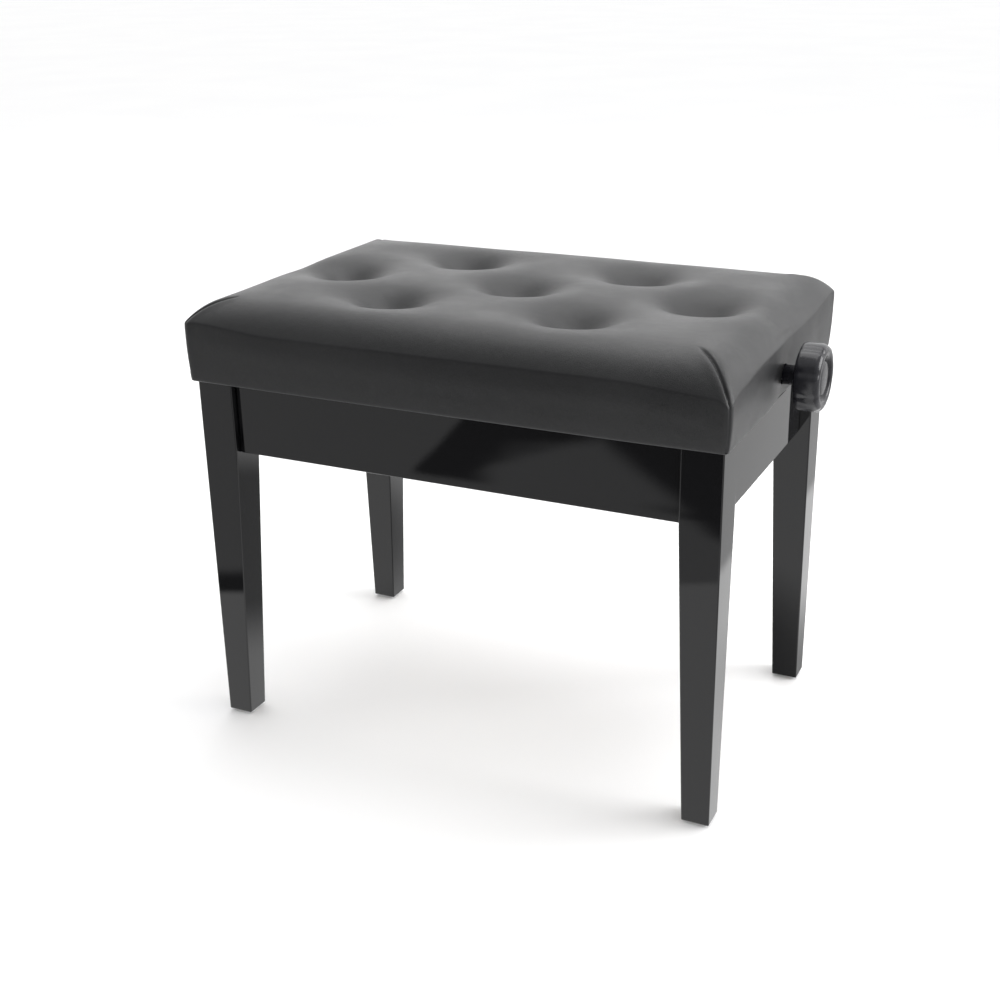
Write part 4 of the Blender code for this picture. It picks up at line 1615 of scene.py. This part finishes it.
@dataclass
class ReflectionCard:
    """A glowing sheet just over the floor that only gloss sees, a painted reflection of pale paper, its
    edges and the room past them.

    An edge is the weights of x and y and an offset: their sum is the signed distance past the edge. A zone
    is a place on the floor.
    """

    half_size: float = 4.0
    height: float = 0.0006
    paper: float = 1.5
    room: float = 0.85
    dark: float = 0.15
    right_paper: float = 1.55
    right_room: float = 0.82
    # Painted shade: a dimmer glow under the bench, standing in for its shadow as seen in reflections.
    under_bench_shade: float = 0.45
    behind: float = 1.0
    soft: float = 0.012
    front_edge: Point = (0.438, 0.899, 0.580)
    right_edge: Point = (0.994, 0.107, -0.488)
    patch_edge: Point = (1.0, -0.172, 0.302)
    near_edge: Point = (0.7, -0.7, -0.66)
    cloud_zone: Point = (-0.17, -0.99, 0.0)
    under_zone: Point = (0.05, 0.2, 0.0)

    def build(self) -> None:
        """Lay the sheet."""
        bm = bmesh.new()
        bmesh.ops.create_grid(bm, x_segments=2, y_segments=2, size=self.half_size)
        card = new_object("reflection_card", mesh_of("reflection_card", bm), self.material())
        card.location.z = self.height
        card.visible_camera = card.visible_diffuse = card.visible_shadow = False
        card.visible_transmission = card.visible_volume_scatter = False

    def material(self) -> Material:
        """The sheet's light and dark zones, as a glow that depends on the place on the floor."""
        graph = Graph("reflected_surroundings")
        parts = graph.add("SeparateXYZ", {"Vector": graph.place}).outputs
        x, y = parts["X"], parts["Y"]
        front = self.past(graph, x, y, self.front_edge)
        shade = self.shade(graph, x, y, front)
        room = graph.ramp(shade, 0.0, 1.0, self.room, self.dark)
        ahead = graph.blend(graph.ramp(front, -self.soft, self.soft), room, self.paper)
        side = graph.ramp(self.past(graph, x, y, self.right_edge), -self.soft, self.soft)
        right = graph.blend(side, self.right_paper, self.right_room)
        level = graph.blend(graph.ramp(x, 0.26, 0.34), ahead, right)
        # Painted shade: the glow dims under the bench, where the bench's shadow would fall in the floor's
        # reflection.
        under = graph.ramp(self.away(graph, self.under_zone), 0.36, 0.20)
        level = graph.blend(under, level, self.under_bench_shade)
        back = graph.maths("MULTIPLY", graph.ramp(y, 0.7, 1.1), graph.ramp(x, 0.30, 0.1))
        level = graph.blend(back, level, self.behind)
        return graph.finish(
            {
                "Base Color": (0.0, 0.0, 0.0),
                "Specular IOR Level": 0.0,
                "Emission Color": (1.0, 1.0, 1.0),
                "Emission Strength": level,
            }
        )

    def past(self, graph: Graph, x: Socket, y: Socket, edge: Point) -> Socket:
        """Signed distance past a straight edge on the floor."""
        total = graph.plus(graph.maths("MULTIPLY", x, edge[0]), y, edge[1])
        return graph.maths("ADD", total, edge[2])

    def away(self, graph: Graph, zone: Point) -> Socket:
        """Distance from the middle of a zone."""
        return graph.add("VectorMath", {0: graph.place, 1: zone}, operation="DISTANCE").outputs["Value"]

    def shade(self, graph: Graph, x: Socket, y: Socket, front: Socket) -> Socket:
        """How dark the room in front is: a band along the paper's edge, a clouded patch and a near patch.

        Args:
            graph: The material's graph.
            x: The place along the bench.
            y: The place across the bench.
            front: The distance past the front edge.

        Returns:
            The shade, from 0 to 1.
        """
        band = graph.maths("MULTIPLY", graph.ramp(front, -0.10, -0.03), graph.ramp(x, -0.22, -0.38))
        inside = graph.ramp(self.past(graph, x, y, self.patch_edge), -0.01, 0.02)
        patch = graph.maths("MULTIPLY", inside, graph.ramp(y, -0.87, -0.91))
        ragged = graph.plus(self.away(graph, self.cloud_zone), graph.noise(Pattern(0.22)), 0.20)
        cloud = graph.ramp(ragged, 0.34, 0.20)
        patch = graph.maths("MULTIPLY", patch, graph.maths("SUBTRACT", 1.0, cloud))
        inside = graph.ramp(self.past(graph, x, y, self.near_edge), -0.06, 0.02)
        near = graph.maths("MULTIPLY", inside, graph.ramp(y, -0.80, -0.86))
        return graph.maths("MAXIMUM", graph.maths("MAXIMUM", band, patch), near)


@dataclass
class Panel:
    """A soft light panel: where it hangs, where it faces, its width and height, and its power in watts."""

    name: str
    place: Point
    target: Point
    size: Span
    power: float

    def build(self) -> None:
        """Hang the panel."""
        light = bpy.data.lights.new(self.name, "AREA")
        light.shape = "RECTANGLE"
        light.size, light.size_y = self.size
        light.energy = self.power
        obj = bpy.data.objects.new(self.name, light)
        obj.location = self.place
        facing = Vector(self.target) - Vector(self.place)
        obj.rotation_euler = facing.to_track_quat("-Z", "Y").to_euler()
        bpy.context.scene.collection.objects.link(obj)


@dataclass
class Studio:
    """A pale floor, soft light and the camera."""

    camera_place: Point = (0.61500, -1.30886, 0.81410)
    camera_turn: float = 25.998
    camera_rise: float = 21.929
    camera_roll: float = -1.022
    lens: float = 52.18
    floor_size: float = 30.0
    floor_glow: float = 0.08
    bright_side: Point = (0.1, 0.9, 0.35)
    dim: float = 0.35
    bright: float = 1.55
    backdrop: float = 0.92

    def build(self) -> None:
        """Make the floor, the lights and the camera."""
        self.floor()
        ReflectionCard().build()
        self.world()
        Panel("top_panel", (0.1, 0.5, 2.3), (0.0, 0.0, 0.3), (2.2, 1.6), 26.0).build()
        Panel("right_panel", (2.2, 0.7, 1.15), (0.4, 0.0, 0.2), (1.4, 1.3), 38.0).build()
        self.camera()
        view = bpy.context.scene.view_settings
        view.view_transform = "Standard"
        view.look = "None"

    def floor(self) -> None:
        """A seamless pale floor."""
        bm = bmesh.new()
        bmesh.ops.create_grid(bm, x_segments=8, y_segments=8, size=self.floor_size / 2)
        graph = Graph("pale_floor")
        mottle = graph.ramp(graph.noise(Pattern(0.5, 3.0)), 0.3, 0.7)
        material = graph.finish(
            {
                "Base Color": graph.mix(mottle, (0.86, 0.86, 0.865), (0.88, 0.88, 0.88)),
                "Roughness": 0.75,
                "Specular IOR Level": 0.2,
                "Emission Color": (1.0, 1.0, 1.0),
                "Emission Strength": self.floor_glow,
            }
        )
        new_object("studio_floor", mesh_of("studio_floor", bm), material)

    def world(self) -> None:
        """Soft light from all round, stronger from behind, and a plain pale backdrop."""
        world = bpy.data.worlds.new("studio_surround")
        bpy.context.scene.world = world
        world.use_nodes = True
        nodes, links = world.node_tree.nodes, world.node_tree.links
        background = nodes["Background"]
        coordinates = nodes.new("ShaderNodeTexCoord")
        facing = nodes.new("ShaderNodeVectorMath")
        facing.operation = "DOT_PRODUCT"
        links.new(coordinates.outputs["Generated"], facing.inputs[0])
        facing.inputs[1].default_value = Vector(self.bright_side).normalized()
        span = nodes.new("ShaderNodeMapRange")
        span.inputs["From Min"].default_value = -0.7
        span.inputs["To Min"].default_value = self.dim
        span.inputs["To Max"].default_value = self.bright
        links.new(facing.outputs["Value"], span.inputs["Value"])
        seen = nodes.new("ShaderNodeMix")
        links.new(nodes.new("ShaderNodeLightPath").outputs["Is Camera Ray"], seen.inputs[0])
        links.new(span.outputs[0], seen.inputs[2])
        seen.inputs[3].default_value = self.backdrop
        links.new(seen.outputs[0], background.inputs["Strength"])
        background.inputs["Color"].default_value = (1.0, 1.0, 1.0, 1.0)

    def camera(self) -> None:
        """Stand the camera in front of the bench, to its right and above it."""
        turn, rise, roll = (math.radians(a) for a in (self.camera_turn, self.camera_rise, self.camera_roll))
        back = Vector((math.sin(turn) * math.cos(rise), -math.cos(turn) * math.cos(rise), math.sin(rise)))
        level = Axis.Z.vector().cross(back).normalized()
        upward = back.cross(level)
        right = level * math.cos(roll) + upward * math.sin(roll)
        top = upward * math.cos(roll) - level * math.sin(roll)
        data = bpy.data.cameras.new("studio_camera")
        data.lens, data.sensor_width = self.lens, 36.0
        data.clip_end = 100.0
        obj = bpy.data.objects.new("studio_camera", data)
        rotation = Matrix((right, top, back)).transposed().to_4x4()
        obj.matrix_world = Matrix.Translation(self.camera_place) @ rotation
        bpy.context.scene.collection.objects.link(obj)
        bpy.context.scene.camera = obj


def main() -> None:
    """Build the studio and the bench, piece by piece."""
    logging.basicConfig(level=logging.INFO, format="%(message)s")
    Studio().build()
    finishes = Finishes()
    LegSet(finishes.lacquer).build()
    ApronSet(finishes.lacquer).build()
    GlideSet(finishes.nylon, finishes.zinc).build()
    cushion = Cushion(finishes.leather).build()
    ButtonSet(finishes.leather, cushion).build()
    SeatFrame(finishes).build()
    KnobPair(finishes.knob).build()
    LeadScrew(finishes.screw).build()
    LiftHardware(finishes).build()


if __name__ == "__main__":
    main()
